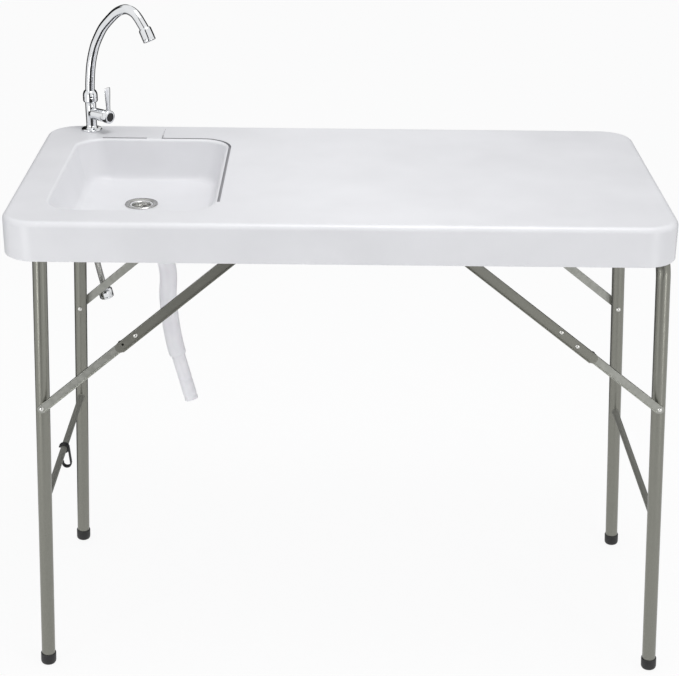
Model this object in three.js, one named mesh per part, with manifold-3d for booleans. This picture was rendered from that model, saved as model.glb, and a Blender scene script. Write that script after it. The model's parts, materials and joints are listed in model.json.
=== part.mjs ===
// A folding camping table with a moulded sink, a swan-neck faucet and a drain hose.
// Millimetres, +Z up, the table's length along X, its front toward -Y, feet on z = 0.
import * as THREE from "three";
import { mergeVertices } from "three/addons/utils/BufferGeometryUtils.js";
import Module from "manifold-3d";

const wasm = await Module();
wasm.setup();

// Clearances and faceting
const seat = 0.3; // gap between pieces that rest on each other
const overrun = 3; // how far a cutter runs past what it cuts
const roundSteps = 24; // sides of a turned piece
const tubeSides = 16; // sides of a bent tube
const smallSides = 12; // sides of screws and rivets
const cordSides = 10; // sides of the supply hose
const bendSteps = 6; // steps in a tube bend
const rimEdgeSteps = 4;
const lipSteps = 3;
const mergeReach = 1e-4; // points nearer than this are one point
const indexNudge = 1e-6; // keeps a rounded share of a path on its own step

// Moulded top
const topLength = 1150;
const topWidth = 590;
const topHeight = 914;
const topCornerRadius = 60;
const rimDepth = 70;
const rimEdgeRadius = 10;
const rimLipRadius = 2;
const rimWall = 4;
const panelThickness = 30;
const ribWidth = 14;
const ribDepth = 4;
const ribPitch = 80;
const ribCount = 4;
const ribMargin = 42; // from a rib's end to the basin or the right hinge bar
const cornerSteps = 8;

// Moulded basin
const basinSideLand = 70; // from the left edge of the top to the basin
const basinBackLand = 98; // from the back edge of the top to the basin
const basinLength = 284;
const basinWidth = 419;
const basinCornerRadius = 48;
const basinFloorCornerRadius = 34;
const basinDepth = 79;
const basinInsetX = 27; // how far the floor draws in from the opening, along X
const basinInsetY = 17;
const basinWall = 3;
const basinLipRadius = 4;
const drainOffsetX = -11; // from the middle of the basin
const drainOffsetY = 70;
const drainDrop = 6; // from the edge of the floor to the drain seat
const wallDepthShares = [0.08, 0.45, 0.78, 0.91, 0.975, 1];
const wallInsetShares = [0, 0.24, 0.48, 0.62, 0.8, 1];

// Grooves moulded beside the basin
const grooveWidth = 5;
const grooveDepth = 2.5;
const grooveLand = 9; // from the basin's edge to the groove's centre line
const grooveGapStart = 128; // from the basin's left edge to the gap in the back groove
const grooveGapEnd = 157;
const grooveStart = 42;
const grooveFrontStop = 46; // from the basin's front edge to the end of the side groove

// Legs
const legTubeRadius = 12.7;
const legSideLand = 61; // from the long edges of the top to the legs' centre lines
const legBendRadius = 38;
const hingeClearance = 2.2; // between the left hinge bar and the panel
const leftHingeInset = 59.3; // from the left edge of the top
const rightHingeInset = 17.7;
const leftSplay = 34.7; // how far the feet stand outside the hinge
const rightSplay = 45.2;
const stackClearance = 1.8; // between the two frames when both are folded
const crossbarRadius = 6.2;
const leftCrossbarHeight = 346;
const rightCrossbarHeight = 323;

// Feet
const footRadius = 14.5;
const footHeight = 24;
const footSole = 5;
const footEdgeRadius = 3;

// Folding braces
const leftRivetDrop = 367.8; // from the worktop to the rivet on the leg
const rightRivetDrop = 357.2;
const leftBraceReach = 368.6; // from the hinge bar to the brace's upper pivot
const rightBraceReach = 341.8;
const linkSheet = 1.5;
const upperLinkWidth = 19;
const upperLinkLip = 4.2;
const lowerLinkWidth = 15.5;
const lowerLinkLip = 3.2;
const upperLinkTail = 36; // how far the upper link runs past the knuckle
const stopReach = 31; // from the knuckle to the stop
const stopLength = 5;
const rivetRadius = 3;
const rivetHeadRadius = 4.6;
const rivetHeadHeight = 1.8;
const linkEndSteps = 5;

// Brackets under the panel
const strapThickness = 1.6;
const strapLength = 24; // along the hinge bar
const strapPlace = 130; // from the middle of the table
const strapFoot = 22; // how far the screw foot runs
const leftStrapRise = 3; // how far the free end rises above the bar's axis
const rightStrapRise = 2;
const tabThickness = 2.7;
const tabWidth = 20;
const tabFoot = 18;
const screwRadius = 3.6;
const screwHeight = 1.6;

// Faucet
const faucetSideLand = 83.7; // from the left edge of the top
const faucetBackLand = 34.5;
const flangeRadius = 20.5;
const flangeHeight = 7;
const flangeShoulderShare = 0.86; // of the flange's radius
const flangeShoulderRiseShare = 0.6; // of the flange's height
const faucetNeckRadius = 9.2;
const faucetNeckFlare = 2;
const riserRadius = 10.6;
const riserHeight = 56; // from the worktop to the collar nut
const valveHeight = 34.5; // from the worktop to the valve's axis
const valveRadius = 12;
const valveReach = 43;
const valveTaperShare = 0.94;
const valveTurn = 38; // degrees, from +X toward the front
const hubRadius = 13;
const hubLength = 10;
const leverLength = 58; // from the valve's axis to the tip
const leverWidth = 12.5;
const leverThickness = 4;
const leverRootShare = 0.62; // of the hub's radius
const leverRootWidthShare = 0.8;
const leverWaistWidthShare = 0.7;
const capRadius = 8;
const capHeight = 1.5;
const capEdgeShare = 0.6; // of the cap's height
const capCrownShare = 0.7; // of the cap's radius
const collarRadius = 14.5;
const collarHeight = 24;
const collarSkirt = 1; // how far the collar's foot stands out from the riser
const collarLip = 2; // wall at the collar's top
const collarWidestShares = [0.25, 0.6]; // of the collar's height
const collarShoulderShare = 0.9; // of the collar's height
const collarShoulderRadiusShare = 0.86;
const spoutRadius = 9.25;
const spoutTurn = 30; // degrees, from +X toward the front
const spoutReach = 149.4; // from the riser to the nozzle's mouth
const spoutRise = 249.6; // from the worktop to the top of the arch
const archReachShares = [0.024, 0.045, 0.078, 0.123, 0.189, 0.273, 0.398, 0.611, 0.774, 0.855, 0.925];
const archRiseShares = [0.474, 0.543, 0.616, 0.69, 0.764, 0.84, 0.917, 1, 0.977, 0.926, 0.868];
const nozzleRadius = 12.5;
const nozzleLength = 26;
const nozzleBore = 7;
const nozzleMouthEdge = 1.5;
const nozzleTopEdge = 2;
const nozzleTopStep = 1;
const nozzleSocket = 6; // how far the spout enters the nozzle
const spoutEase = 2; // straight run of the spout before the nozzle
const neckSteps = 30;
const neckSides = 16;
const nozzleMouthShare = 0.782; // height of the nozzle's mouth as a share of the spout's rise
const shankRadius = 8;
const shankLength = 64; // below the worktop
const shankBoreRadius = 5;
const locknutRadius = 12.6;
const locknutHeight = 8;
const locknutSides = 6;

// Supply hose and its connector
const supplyRadius = 6;
const supplyBoreRadius = 3.6;
const ferruleRadius = 8;
const ferruleLength = 20;
const ferruleCrimpShare = 0.5; // of the ferrule's length, the rest is its nipple
const connectorRadius = 15;
const connectorLength = 20;
const connectorBore = 11.5;
const connectorSides = 12;
const connectorFace = 4; // thickness of the end that turns on the nipple
const connectorShoulder = 3;
const connectorEdge = 1;
const nippleRadius = 7.2;

// Drain
const strainerRadius = 31;
const strainerThickness = 2;
const cupRadius = 19;
const cupDepth = 13;
const cupWall = 1.6;
const strainerHole = 3.2;
const strainerHoleRing = 10.5;
const strainerHoles = 6;
const drainBodyRadius = 22;
const drainBodyDepth = 27;
const drainBodyTaper = 6;
const drainThroatTaper = 8;
const spigotRadius = 12.9;
const spigotLength = 10;
const spigotBoreRadius = 11;
const gasketRadius = 30;
const gasketThickness = 2.4;
const drainNutRadius = 31;
const drainNutHeight = 9;
const drainNutLugs = 6;
const drainNutLug = 3;
const drainNutLugRoot = 1; // how far a lug enters the nut
const hoseRadius = 16.5;
const hoseBoreRadius = 14.2;
const hoseSides = 12;
const cuffRadius = 13;
const cuffBoreRadius = 10.5;
const cuffLength = 92;
const cuffCollar = 15.5;
const cuffCollarLength = 4;
const cuffCollarEase = 1;
const cuffTaperShare = 0.96;

// Storage clip on the left crossbar, with a hook that hangs on the middle side
const clipPlace = -8; // along Y
const clipBandRadius = 10.5;
const clipBandHeight = 9;
const clipStrip = 3; // thickness of the hook's strip
const clipHookReach = 12; // from the crossbar's centre line to the hook's upright run
const clipHookDrop = 33; // from the crossbar's centre line to the hook's bend
const clipHookRadius = 8; // of the bend's centre line
const clipHookTurn = 200; // degrees that the bend goes round
const clipHookSteps = 10;
const clipGapTurn = 35; // half the opening of the band, in degrees
const clipGapPlace = 200; // where the band opens, in degrees from +X toward +Z

// Where the hoses lie, at their real sizes, from the point where each one starts
const drainHoseRoute = [
  [0, 0, 0],
  [0, 0, -12],
  [3.9, 0.2, -32.8],
  [12.3, 0.6, -51.8],
  [24.8, 0.8, -68.8],
  [36.3, 0.4, -86.6],
  [43.4, -0.5, -106.6],
  [45.7, -1.8, -122.6],
  [45.1, -3.5, -139.5],
  [44.7, -5.5, -156.3],
  [45.6, -7.7, -173.1],
  [47.3, -10, -189.9],
  [49.3, -12.6, -206.7],
  [51.8, -15.4, -223.3],
  [54.8, -18.2, -239.8],
  [58.4, -21, -256.3],
  [63.1, -23.7, -272.7],
];
const supplyHoseRoute = [
  [0, 0, 0],
  [0, 0, -12],
  [-0.5, 0.2, -28.9],
  [-1.5, 0.4, -45.8],
  [-2.7, 0.7, -62.7],
  [-4.1, 1.2, -79.5],
  [-5.5, 1.7, -96.4],
  [-6.6, 2.3, -113.2],
  [-7.4, 3.1, -130.1],
  [-7.6, 3.9, -147],
  [-7.2, 4.9, -163.9],
  [-6, 6, -180.7],
  [-3.9, 7.1, -197.4],
  [-1, 8.4, -214],
  [2.2, 9.8, -230.6],
  [5.6, 11.1, -247.1],
];

// Heights and places that follow from the sizes above
const panelUnderside = topHeight - panelThickness;
const legSpan = topWidth - 2 * legSideLand; // between the centre lines of a frame's two legs
const rimBottom = topHeight - rimDepth;
const basinLeft = basinSideLand - topLength / 2;
const basinRight = basinLeft + basinLength;
const basinBack = topWidth / 2 - basinBackLand;
const basinFront = basinBack - basinWidth;
const drainX = (basinLeft + basinRight) / 2 + drainOffsetX;
const drainY = (basinFront + basinBack) / 2 + drainOffsetY;
const drainSeat = topHeight - basinDepth - drainDrop;
const drainHoleRadius = drainBodyRadius + seat;
const faucetX = faucetSideLand - topLength / 2;
const faucetY = topWidth / 2 - faucetBackLand;
const leftHingeDrop = legTubeRadius + hingeClearance;
const rightHingeDrop = leftHingeDrop + footRadius + legTubeRadius + stackClearance;

const toRadians = Math.PI / 180;

// Materials
function material(color, roughness, metalness) {
  return new THREE.MeshStandardMaterial({ color, roughness, metalness });
}
const moulding = material(0xe6e6e8, 0.55, 0);
const coatedSteel = material(0x6e6f68, 0.5, 0.4);
const chrome = material(0xd4d6d8, 0.12, 1);
const brightSteel = material(0xb4b4b0, 0.35, 0.9);
const blackPlastic = material(0x1a1a1b, 0.6, 0);
const hosePlastic = material(0xdad9de, 0.45, 0);
const braid = material(0x8b8b88, 0.5, 0.6);
const rubber = material(0x2b2b2b, 0.8, 0);

// Solids and booleans
function toSolid(geometry) {
  const bare = new THREE.BufferGeometry();
  bare.setAttribute("position", geometry.getAttribute("position").clone());
  if (geometry.index) bare.setIndex(geometry.index.clone());
  const merged = mergeVertices(bare, mergeReach);
  const mesh = new wasm.Mesh({
    numProp: 3,
    vertProperties: new Float32Array(merged.getAttribute("position").array),
    triVerts: new Uint32Array(merged.index.array),
  });
  mesh.merge();
  return new wasm.Manifold(mesh);
}

function toGeometry(solid) {
  const mesh = solid.getMesh();
  const geometry = new THREE.BufferGeometry();
  geometry.setAttribute("position", new THREE.BufferAttribute(mesh.vertProperties, 3));
  geometry.setIndex(new THREE.BufferAttribute(mesh.triVerts, 1));
  return geometry;
}

function join(...geometries) {
  return toGeometry(geometries.map(toSolid).reduce((sum, next) => sum.add(next)));
}

function cut(geometry, ...cutters) {
  const whole = toSolid(geometry);
  return toGeometry(cutters.map(toSolid).reduce((rest, cutter) => rest.subtract(cutter), whole));
}

function keep(geometry, region) {
  return toGeometry(toSolid(geometry).intersect(toSolid(region)));
}

// A box between two corners
function block(x0, x1, y0, y1, z0, z1) {
  const geometry = new THREE.BoxGeometry(x1 - x0, y1 - y0, z1 - z0);
  return geometry.translate((x0 + x1) / 2, (y0 + y1) / 2, (z0 + z1) / 2);
}

// A turned piece from a closed outline of [radius, height] points, its axis along +Z
function turned(profile, steps = roundSteps) {
  const points = profile.map(([radius, height]) => new THREE.Vector2(radius, height));
  if (THREE.ShapeUtils.area(points) < 0) points.reverse();
  points.push(points[0].clone());
  return new THREE.LatheGeometry(points, steps).rotateX(Math.PI / 2);
}

function disc(radius, z0, z1, steps = roundSteps) {
  const cylinder = new THREE.CylinderGeometry(radius, radius, z1 - z0, steps);
  return cylinder.rotateX(Math.PI / 2).translate(0, 0, (z0 + z1) / 2);
}

function ringBetween(inner, outer, z0, z1, steps = roundSteps) {
  return turned([[inner, z0], [outer, z0], [outer, z1], [inner, z1]], steps);
}

// A flat outline in X and Z, given a thickness along Y
function plate(shape, y0, y1, curveSegments = linkEndSteps) {
  const geometry = new THREE.ExtrudeGeometry(shape, { depth: y1 - y0, bevelEnabled: false, curveSegments });
  return geometry.rotateX(Math.PI / 2).translate(0, y1, 0);
}

// A path that a tube follows point by point, so that straights take one step
class Route extends THREE.Curve {
  constructor(points) {
    super();
    this.points = points;
  }
  getPoint(t, target = new THREE.Vector3()) {
    const place = t * (this.points.length - 1);
    const index = Math.min(Math.floor(place + indexNudge), this.points.length - 2);
    return target.lerpVectors(this.points[index], this.points[index + 1], place - index);
  }
  getPointAt(u, target) {
    return this.getPoint(u, target);
  }
  getTangentAt(u, target = new THREE.Vector3()) {
    const last = this.points.length - 1;
    const index = Math.round(u * last);
    const before = this.points[Math.max(index - 1, 0)];
    const here = this.points[index];
    const after = this.points[Math.min(index + 1, last)];
    const arriving = here.clone().sub(before).normalize();
    const leaving = after.clone().sub(here).normalize();
    return target.copy(arriving.add(leaving).normalize());
  }
  getSpacedPoints() {
    return this.points;
  }
}

function tube(points, radius, sides, boreRadius = 0) {
  const section = new THREE.Shape();
  section.absarc(0, 0, radius, 0, 2 * Math.PI, false);
  if (boreRadius > 0) {
    const bore = new THREE.Path();
    bore.absarc(0, 0, boreRadius, 0, 2 * Math.PI, true);
    section.holes.push(bore);
  }
  return new THREE.ExtrudeGeometry(section, {
    steps: points.length - 1,
    curveSegments: sides / 2,
    extrudePath: new Route(points),
    bevelEnabled: false,
  });
}

function routeFrom(start, offsets) {
  return offsets.map((offset) => new THREE.Vector3(...offset).add(start));
}

// A round-cornered rectangle as one ring of points, counterclockwise from above
function ring(x0, x1, y0, y1, radius, z) {
  const centres = [
    [x1 - radius, y0 + radius],
    [x1 - radius, y1 - radius],
    [x0 + radius, y1 - radius],
    [x0 + radius, y0 + radius],
  ];
  const points = [];
  centres.forEach(([x, y], corner) => {
    for (let step = 0; step <= cornerSteps; step += 1) {
      const angle = (corner - 1 + step / cornerSteps) * (Math.PI / 2);
      points.push([x + radius * Math.cos(angle), y + radius * Math.sin(angle), z]);
    }
  });
  return points;
}

// A closed solid through rings of equal count, from the lowest to the highest
function loft(rings) {
  const count = rings[0].length;
  const positions = rings.flat(2);
  const faces = [];
  for (let level = 0; level < rings.length - 1; level += 1) {
    for (let step = 0; step < count; step += 1) {
      const a = level * count + step;
      const b = level * count + ((step + 1) % count);
      faces.push(a, b, b + count, a, b + count, a + count);
    }
  }
  const top = (rings.length - 1) * count;
  for (let step = 1; step < count - 1; step += 1) {
    faces.push(0, step + 1, step);
    faces.push(top, top + step, top + step + 1);
  }
  const geometry = new THREE.BufferGeometry();
  geometry.setAttribute("position", new THREE.Float32BufferAttribute(positions, 3));
  geometry.setIndex(faces);
  return geometry;
}

// The stand and its pieces
const stand = new THREE.Group();

function place(name, geometry, look, position, rotation) {
  const mesh = new THREE.Mesh(geometry, look);
  mesh.name = name;
  if (position) mesh.position.set(...position);
  if (rotation) mesh.rotation.set(...rotation);
  stand.add(mesh);
  return mesh;
}

// Places a piece whose local +Z runs from one point toward another
function placeAlong(name, geometry, look, from, direction) {
  const mesh = place(name, geometry, look, from.toArray());
  mesh.quaternion.setFromUnitVectors(new THREE.Vector3(0, 0, 1), direction.clone().normalize());
}

// Moulded top
function slabRing(inset, z) {
  const halfLength = topLength / 2 - inset;
  const halfWidth = topWidth / 2 - inset;
  return ring(-halfLength, halfLength, -halfWidth, halfWidth, topCornerRadius - inset, z);
}

function roundedSlab() {
  const rings = [slabRing(rimLipRadius, rimBottom), slabRing(0, rimBottom + rimLipRadius)];
  for (let step = 0; step <= rimEdgeSteps; step += 1) {
    const angle = (step / rimEdgeSteps) * (Math.PI / 2);
    const drop = rimEdgeRadius * (1 - Math.sin(angle));
    rings.push(slabRing(rimEdgeRadius * (1 - Math.cos(angle)), topHeight - drop));
  }
  return loft(rings);
}

// The basin's opening at a height, drawn out by its rounded lip
function basinOpening(out, z) {
  const radius = basinCornerRadius + out;
  return ring(basinLeft - out, basinRight + out, basinFront - out, basinBack + out, radius, z);
}

// The basin's surface, grown outward for its outer skin
function basinRings(grow) {
  const rings = wallDepthShares.map((depthShare, index) => {
    const inset = wallInsetShares[index];
    const insetX = inset * basinInsetX - grow;
    const insetY = inset * basinInsetY - grow;
    const radius = basinCornerRadius + (basinFloorCornerRadius - basinCornerRadius) * inset + grow;
    const z = topHeight - depthShare * basinDepth - (depthShare === 1 ? grow : 0);
    return ring(basinLeft + insetX, basinRight - insetX, basinFront + insetY, basinBack - insetY, radius, z);
  });
  const reach = strainerRadius + basinWall + grow;
  const seatZ = drainSeat - grow;
  rings.push(ring(drainX - reach, drainX + reach, drainY - reach, drainY + reach, reach - seat, seatZ));
  return rings.reverse();
}

function basinHollow() {
  const rings = basinRings(0);
  for (let step = 1; step <= lipSteps; step += 1) {
    const angle = (step / lipSteps) * (Math.PI / 2);
    const out = basinLipRadius * (1 - Math.cos(angle));
    rings.push(basinOpening(out, topHeight - basinLipRadius * (1 - Math.sin(angle))));
  }
  rings.push(basinOpening(basinLipRadius, topHeight + overrun));
  return loft(rings);
}

// A groove cutter along a line of [x, y] points
function groove(points) {
  const half = grooveWidth / 2;
  const left = [];
  const right = [];
  points.forEach(([x, y], index) => {
    const [bx, by] = points[Math.max(index - 1, 0)];
    const [ax, ay] = points[Math.min(index + 1, points.length - 1)];
    const length = Math.hypot(ax - bx, ay - by);
    left.push(new THREE.Vector2(x - ((ay - by) / length) * half, y + ((ax - bx) / length) * half));
    right.push(new THREE.Vector2(x + ((ay - by) / length) * half, y - ((ax - bx) / length) * half));
  });
  const shape = new THREE.Shape([...left, ...right.reverse()]);
  const depth = grooveDepth + overrun;
  const cutter = new THREE.ExtrudeGeometry(shape, { depth, bevelEnabled: false });
  return cutter.translate(0, 0, topHeight - grooveDepth);
}

function grooves() {
  const backY = basinBack + grooveLand;
  const sideX = basinRight + grooveLand;
  const radius = basinCornerRadius + grooveLand;
  const corner = [];
  for (let step = 0; step <= cornerSteps; step += 1) {
    const angle = (1 - step / cornerSteps) * (Math.PI / 2);
    corner.push([sideX - radius + radius * Math.cos(angle), backY - radius + radius * Math.sin(angle)]);
  }
  const gapEnd = basinLeft + grooveGapEnd;
  return [
    groove([[basinLeft + grooveStart, backY], [basinLeft + grooveGapStart, backY]]),
    groove([[gapEnd, topWidth / 2 + overrun], [gapEnd, backY - grooveWidth / 2]]),
    groove([[gapEnd, backY], ...corner, [sideX, basinFront + grooveFrontStop]]),
  ];
}

function undersideRibs() {
  const x0 = basinRight + ribMargin;
  const x1 = topLength / 2 - rightHingeInset - legTubeRadius - ribMargin;
  const half = ribWidth / 2;
  const crown = half - ribDepth / 2;
  const section = new THREE.Shape();
  section.moveTo(-half, overrun);
  section.lineTo(-half, 0);
  section.lineTo(-crown, -ribDepth);
  section.lineTo(crown, -ribDepth);
  section.lineTo(half, 0);
  section.lineTo(half, overrun);
  const ribs = [];
  for (let index = 0; index < ribCount; index += 1) {
    const y = (index - (ribCount - 1) / 2) * ribPitch;
    const bar = new THREE.ExtrudeGeometry(section, { depth: x1 - x0, bevelEnabled: false });
    bar.rotateX(Math.PI / 2).rotateZ(Math.PI / 2);
    ribs.push(bar.translate(x0, y, panelUnderside));
  }
  return ribs;
}

const tray = loft([slabRing(rimWall, rimBottom - overrun), slabRing(rimWall, panelUnderside)]);
const drainHole = disc(drainHoleRadius, drainSeat - basinWall - overrun, drainSeat + overrun);
drainHole.translate(drainX, drainY, 0);
const faucetHole = disc(shankRadius + seat, panelUnderside - overrun, topHeight + overrun);
faucetHole.translate(faucetX, faucetY, 0);
const shelled = join(cut(roundedSlab(), tray), loft(basinRings(basinWall)), ...undersideRibs());
place("tabletop", cut(shelled, basinHollow(), drainHole, faucetHole, ...grooves()), moulding);

// Leg frames, hinge straps and feet
function legFrame(side) {
  const left = side === "left";
  const edge = left ? -topLength / 2 : topLength / 2;
  const outward = left ? -1 : 1;
  const inset = left ? leftHingeInset : rightHingeInset;
  const drop = left ? leftHingeDrop : rightHingeDrop;
  const splay = left ? leftSplay : rightSplay;
  const hinge = new THREE.Vector3(edge - outward * inset, 0, panelUnderside - drop);
  const foot = new THREE.Vector3(hinge.x + outward * splay, 0, 0);
  const up = hinge.clone().sub(foot).normalize();
  return { left, outward, hinge, foot, up, drop, name: side };
}

// A point on the leg's centre line at a height, in the plane at y
function legPoint(frame, z, y) {
  const share = z / frame.hinge.z;
  return new THREE.Vector3(frame.foot.x + (frame.hinge.x - frame.foot.x) * share, y, z);
}

function legTube(frame, radius) {
  const half = legSpan / 2;
  const points = [];
  const lowEnd = frame.foot.clone().addScaledVector(frame.up, footSole + seat);
  const bend = (y, turn) => {
    const centre = frame.hinge.clone().addScaledVector(frame.up, -legBendRadius);
    centre.y = y - Math.sign(y) * legBendRadius;
    const outside = new THREE.Vector3(0, Math.sign(y), 0);
    return centre
      .addScaledVector(outside, legBendRadius * Math.cos(turn))
      .addScaledVector(frame.up, legBendRadius * Math.sin(turn));
  };
  const turns = Array.from({ length: bendSteps + 1 }, (_, step) => (step / bendSteps) * (Math.PI / 2));
  points.push(lowEnd.clone().setY(-half));
  points.push(...turns.map((turn) => bend(-half, turn)));
  points.push(...turns.reverse().map((turn) => bend(half, turn)));
  points.push(lowEnd.clone().setY(half));
  return tube(points, radius, tubeSides);
}

function crossbar(frame, height) {
  const centre = legPoint(frame, height, 0);
  const bar = new THREE.CylinderGeometry(crossbarRadius, crossbarRadius, legSpan, tubeSides);
  bar.translate(centre.x, 0, centre.z);
  return cut(bar, legTube(frame, legTubeRadius + seat));
}

function foot(frame, y) {
  const bore = legTubeRadius + seat;
  const low = -overrun;
  const cap = turned([
    [0, low],
    [footRadius - footEdgeRadius, low],
    [footRadius - footEdgeRadius, 0],
    [footRadius - footEdgeRadius / 4, footEdgeRadius / 4],
    [footRadius, footEdgeRadius],
    [footRadius, footHeight],
    [bore, footHeight],
    [bore, footSole],
    [0, footSole],
  ]);
  const upright = new THREE.Quaternion().setFromUnitVectors(new THREE.Vector3(0, 0, 1), frame.up);
  cap.applyQuaternion(upright).translate(frame.foot.x, y, 0);
  const reach = footRadius + footHeight;
  const above = block(-reach, reach, -reach, reach, 0, reach).translate(frame.foot.x, y, 0);
  return keep(cap, above);
}

// A strap screwed under the panel that carries the hinge bar
function strap(frame, y) {
  const inner = legTubeRadius + seat;
  const outer = inner + strapThickness;
  const top = frame.drop - seat;
  const rise = frame.left ? leftStrapRise : rightStrapRise;
  const shape = new THREE.Shape();
  shape.moveTo(-outer - strapFoot, top);
  shape.lineTo(-outer - strapFoot, top - strapThickness);
  shape.lineTo(-outer, top - strapThickness);
  shape.lineTo(-outer, 0);
  shape.absarc(0, 0, outer, Math.PI, 2 * Math.PI, false);
  shape.lineTo(outer, rise);
  shape.lineTo(inner, rise);
  shape.lineTo(inner, 0);
  shape.absarc(0, 0, inner, 2 * Math.PI, Math.PI, true);
  shape.lineTo(-inner, top);
  const band = plate(shape, -strapLength / 2, strapLength / 2);
  const screwZ = top - strapThickness;
  const screws = [-1, 1].map((side) => {
    const head = disc(screwRadius, screwZ - screwHeight, screwZ + strapThickness / 2, smallSides);
    return head.translate(-outer - strapFoot / 2, (side * strapLength) / 4, 0);
  });
  const name = `${frame.name}_hinge_strap_${y < 0 ? "front" : "back"}`;
  place(name, join(band, ...screws), coatedSteel, [frame.hinge.x, y, frame.hinge.z]);
}

// Folding braces
const lowerInner = legSpan / 2 + legTubeRadius + 2 * seat;
const lowerOuter = lowerInner + linkSheet + lowerLinkLip;
const upperInner = lowerOuter + seat;
const upperOuter = upperInner + linkSheet + upperLinkLip;

// Two links that are in line when the leg stands and lie on each other when it is folded
function braceOf(frame, rivetHeight, reach) {
  const rivet = legPoint(frame, rivetHeight, 0);
  const pivot = new THREE.Vector3(frame.hinge.x - frame.outward * reach, 0, frame.hinge.z);
  const legArm = rivet.distanceTo(frame.hinge);
  const span = rivet.distanceTo(pivot);
  const upper = (span + reach - legArm) / 2;
  const knuckle = pivot.clone().lerp(rivet, upper / span);
  const angle = Math.atan2(rivet.z - pivot.z, rivet.x - pivot.x);
  return { rivet, pivot, knuckle, angle, upper, lower: span - upper };
}

// A link with turned-out edges: local X runs along it from its first pivot, Y is its thickness
function link(length, tail, width, lip) {
  const half = width / 2;
  const end = length + tail;
  const outline = new THREE.Shape();
  outline.absarc(0, 0, half, Math.PI / 2, (3 * Math.PI) / 2, false);
  outline.absarc(end, 0, half, -Math.PI / 2, Math.PI / 2, false);
  const web = plate(outline, 0, linkSheet);
  const lips = [-1, 1].map((side) => {
    const inside = side * (half - linkSheet);
    const outside = side * half;
    return block(0, end, 0, linkSheet + lip, Math.min(inside, outside), Math.max(inside, outside));
  });
  const holes = [0, length].map((x) => {
    const bore = rivetRadius + seat;
    const hole = new THREE.CylinderGeometry(bore, bore, linkSheet + 2 * overrun, smallSides);
    return hole.translate(x, linkSheet / 2, 0);
  });
  return { body: join(web, ...lips), holes };
}

function rivetAlong(y0, y1) {
  const shank = new THREE.CylinderGeometry(rivetRadius, rivetRadius, y1 - y0, smallSides);
  shank.translate(0, (y0 + y1) / 2, 0);
  const crown = rivetHeadHeight / 2;
  const head = new THREE.LatheGeometry([
    new THREE.Vector2(0, y1 - seat),
    new THREE.Vector2(rivetHeadRadius, y1 - seat),
    new THREE.Vector2(rivetHeadRadius, y1 + crown),
    new THREE.Vector2(rivetHeadRadius / 2, y1 + rivetHeadHeight),
    new THREE.Vector2(0, y1 + rivetHeadHeight),
  ], smallSides);
  return join(shank, head);
}

function braces(frame, rivetHeight, reach) {
  const brace = braceOf(frame, rivetHeight, reach);
  for (const front of [true, false]) {
    const name = `${frame.name}_${front ? "front" : "back"}`;
    const sideY = front ? -1 : 1;
    const stopSide = frame.left === front ? 1 : -1;

    const upper = link(brace.upper, upperLinkTail, upperLinkWidth, upperLinkLip);
    const stopX = brace.upper + stopReach;
    const stopEdges = [stopSide * (lowerLinkWidth / 2 + seat), (stopSide * upperLinkWidth) / 2];
    const stopLow = Math.min(...stopEdges);
    const stopHigh = Math.max(...stopEdges);
    const stopStart = stopX - stopLength / 2;
    const stopIn = lowerInner - upperInner;
    const stop = block(stopStart, stopStart + stopLength, stopIn, linkSheet / 2, stopLow, stopHigh);
    const upperBody = join(cut(upper.body, ...upper.holes), stop);
    placeOnFace(`${name}_upper_link`, upperBody, coatedSteel, brace.pivot, brace.angle, sideY * upperInner);

    const lower = link(brace.lower, 0, lowerLinkWidth, lowerLinkLip);
    const lowerBody = cut(lower.body, ...lower.holes);
    placeOnFace(`${name}_lower_link`, lowerBody, brightSteel, brace.knuckle, brace.angle, sideY * lowerInner);

    const faceY = sideY * lowerInner;
    const knuckleRivet = rivetAlong(seat, upperInner - lowerInner + linkSheet + seat);
    placeOnFace(`${name}_knuckle_rivet`, knuckleRivet, brightSteel, brace.knuckle, brace.angle, faceY);
    const legRivet = rivetAlong(-seat, linkSheet + seat);
    placeOnFace(`${name}_leg_rivet`, legRivet, brightSteel, brace.rivet, brace.angle, faceY);
    bracket(frame, `${name}_brace_bracket`, brace.pivot, front);
  }
}

// Places a piece built along +X and outward along +Y on the front or back face, at an angle in XZ
function placeOnFace(name, geometry, look, at, angle, y) {
  const direction = new THREE.Vector3(Math.cos(angle), 0, Math.sin(angle));
  const outward = new THREE.Vector3(0, Math.sign(y), 0);
  const third = direction.clone().cross(outward);
  const mesh = place(name, geometry, look, [at.x, y, at.z]);
  mesh.quaternion.setFromRotationMatrix(new THREE.Matrix4().makeBasis(direction, outward, third));
}

// A tab under the panel that carries a brace's upper pivot
function bracket(frame, name, pivot, front) {
  const tabOuter = upperInner - seat;
  const tabInner = tabOuter - tabThickness;
  const top = frame.drop - seat;
  const half = tabWidth / 2;
  const shape = new THREE.Shape();
  shape.moveTo(-half, top);
  shape.lineTo(-half, 0);
  shape.absarc(0, 0, half, Math.PI, 2 * Math.PI, false);
  shape.lineTo(half, top);
  const tab = plate(shape, tabInner, tabOuter);
  const foot = block(-half, half, tabInner, tabOuter + tabFoot, top - strapThickness, top);
  const headLow = top - strapThickness - screwHeight;
  const head = disc(screwRadius, headLow, top - strapThickness / 2, smallSides);
  head.translate(0, tabOuter + (tabFoot + upperOuter - upperInner) / 2 + screwRadius / 2, 0);
  const pin = rivetAlong(tabInner + seat, upperInner + linkSheet + seat);
  const mesh = place(name, join(tab, foot, head, pin), coatedSteel, [pivot.x, 0, pivot.z]);
  if (front) mesh.rotation.z = Math.PI;
}

const leftFrame = legFrame("left");
const rightFrame = legFrame("right");
braces(leftFrame, topHeight - leftRivetDrop, leftBraceReach);
braces(rightFrame, topHeight - rightRivetDrop, rightBraceReach);

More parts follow.
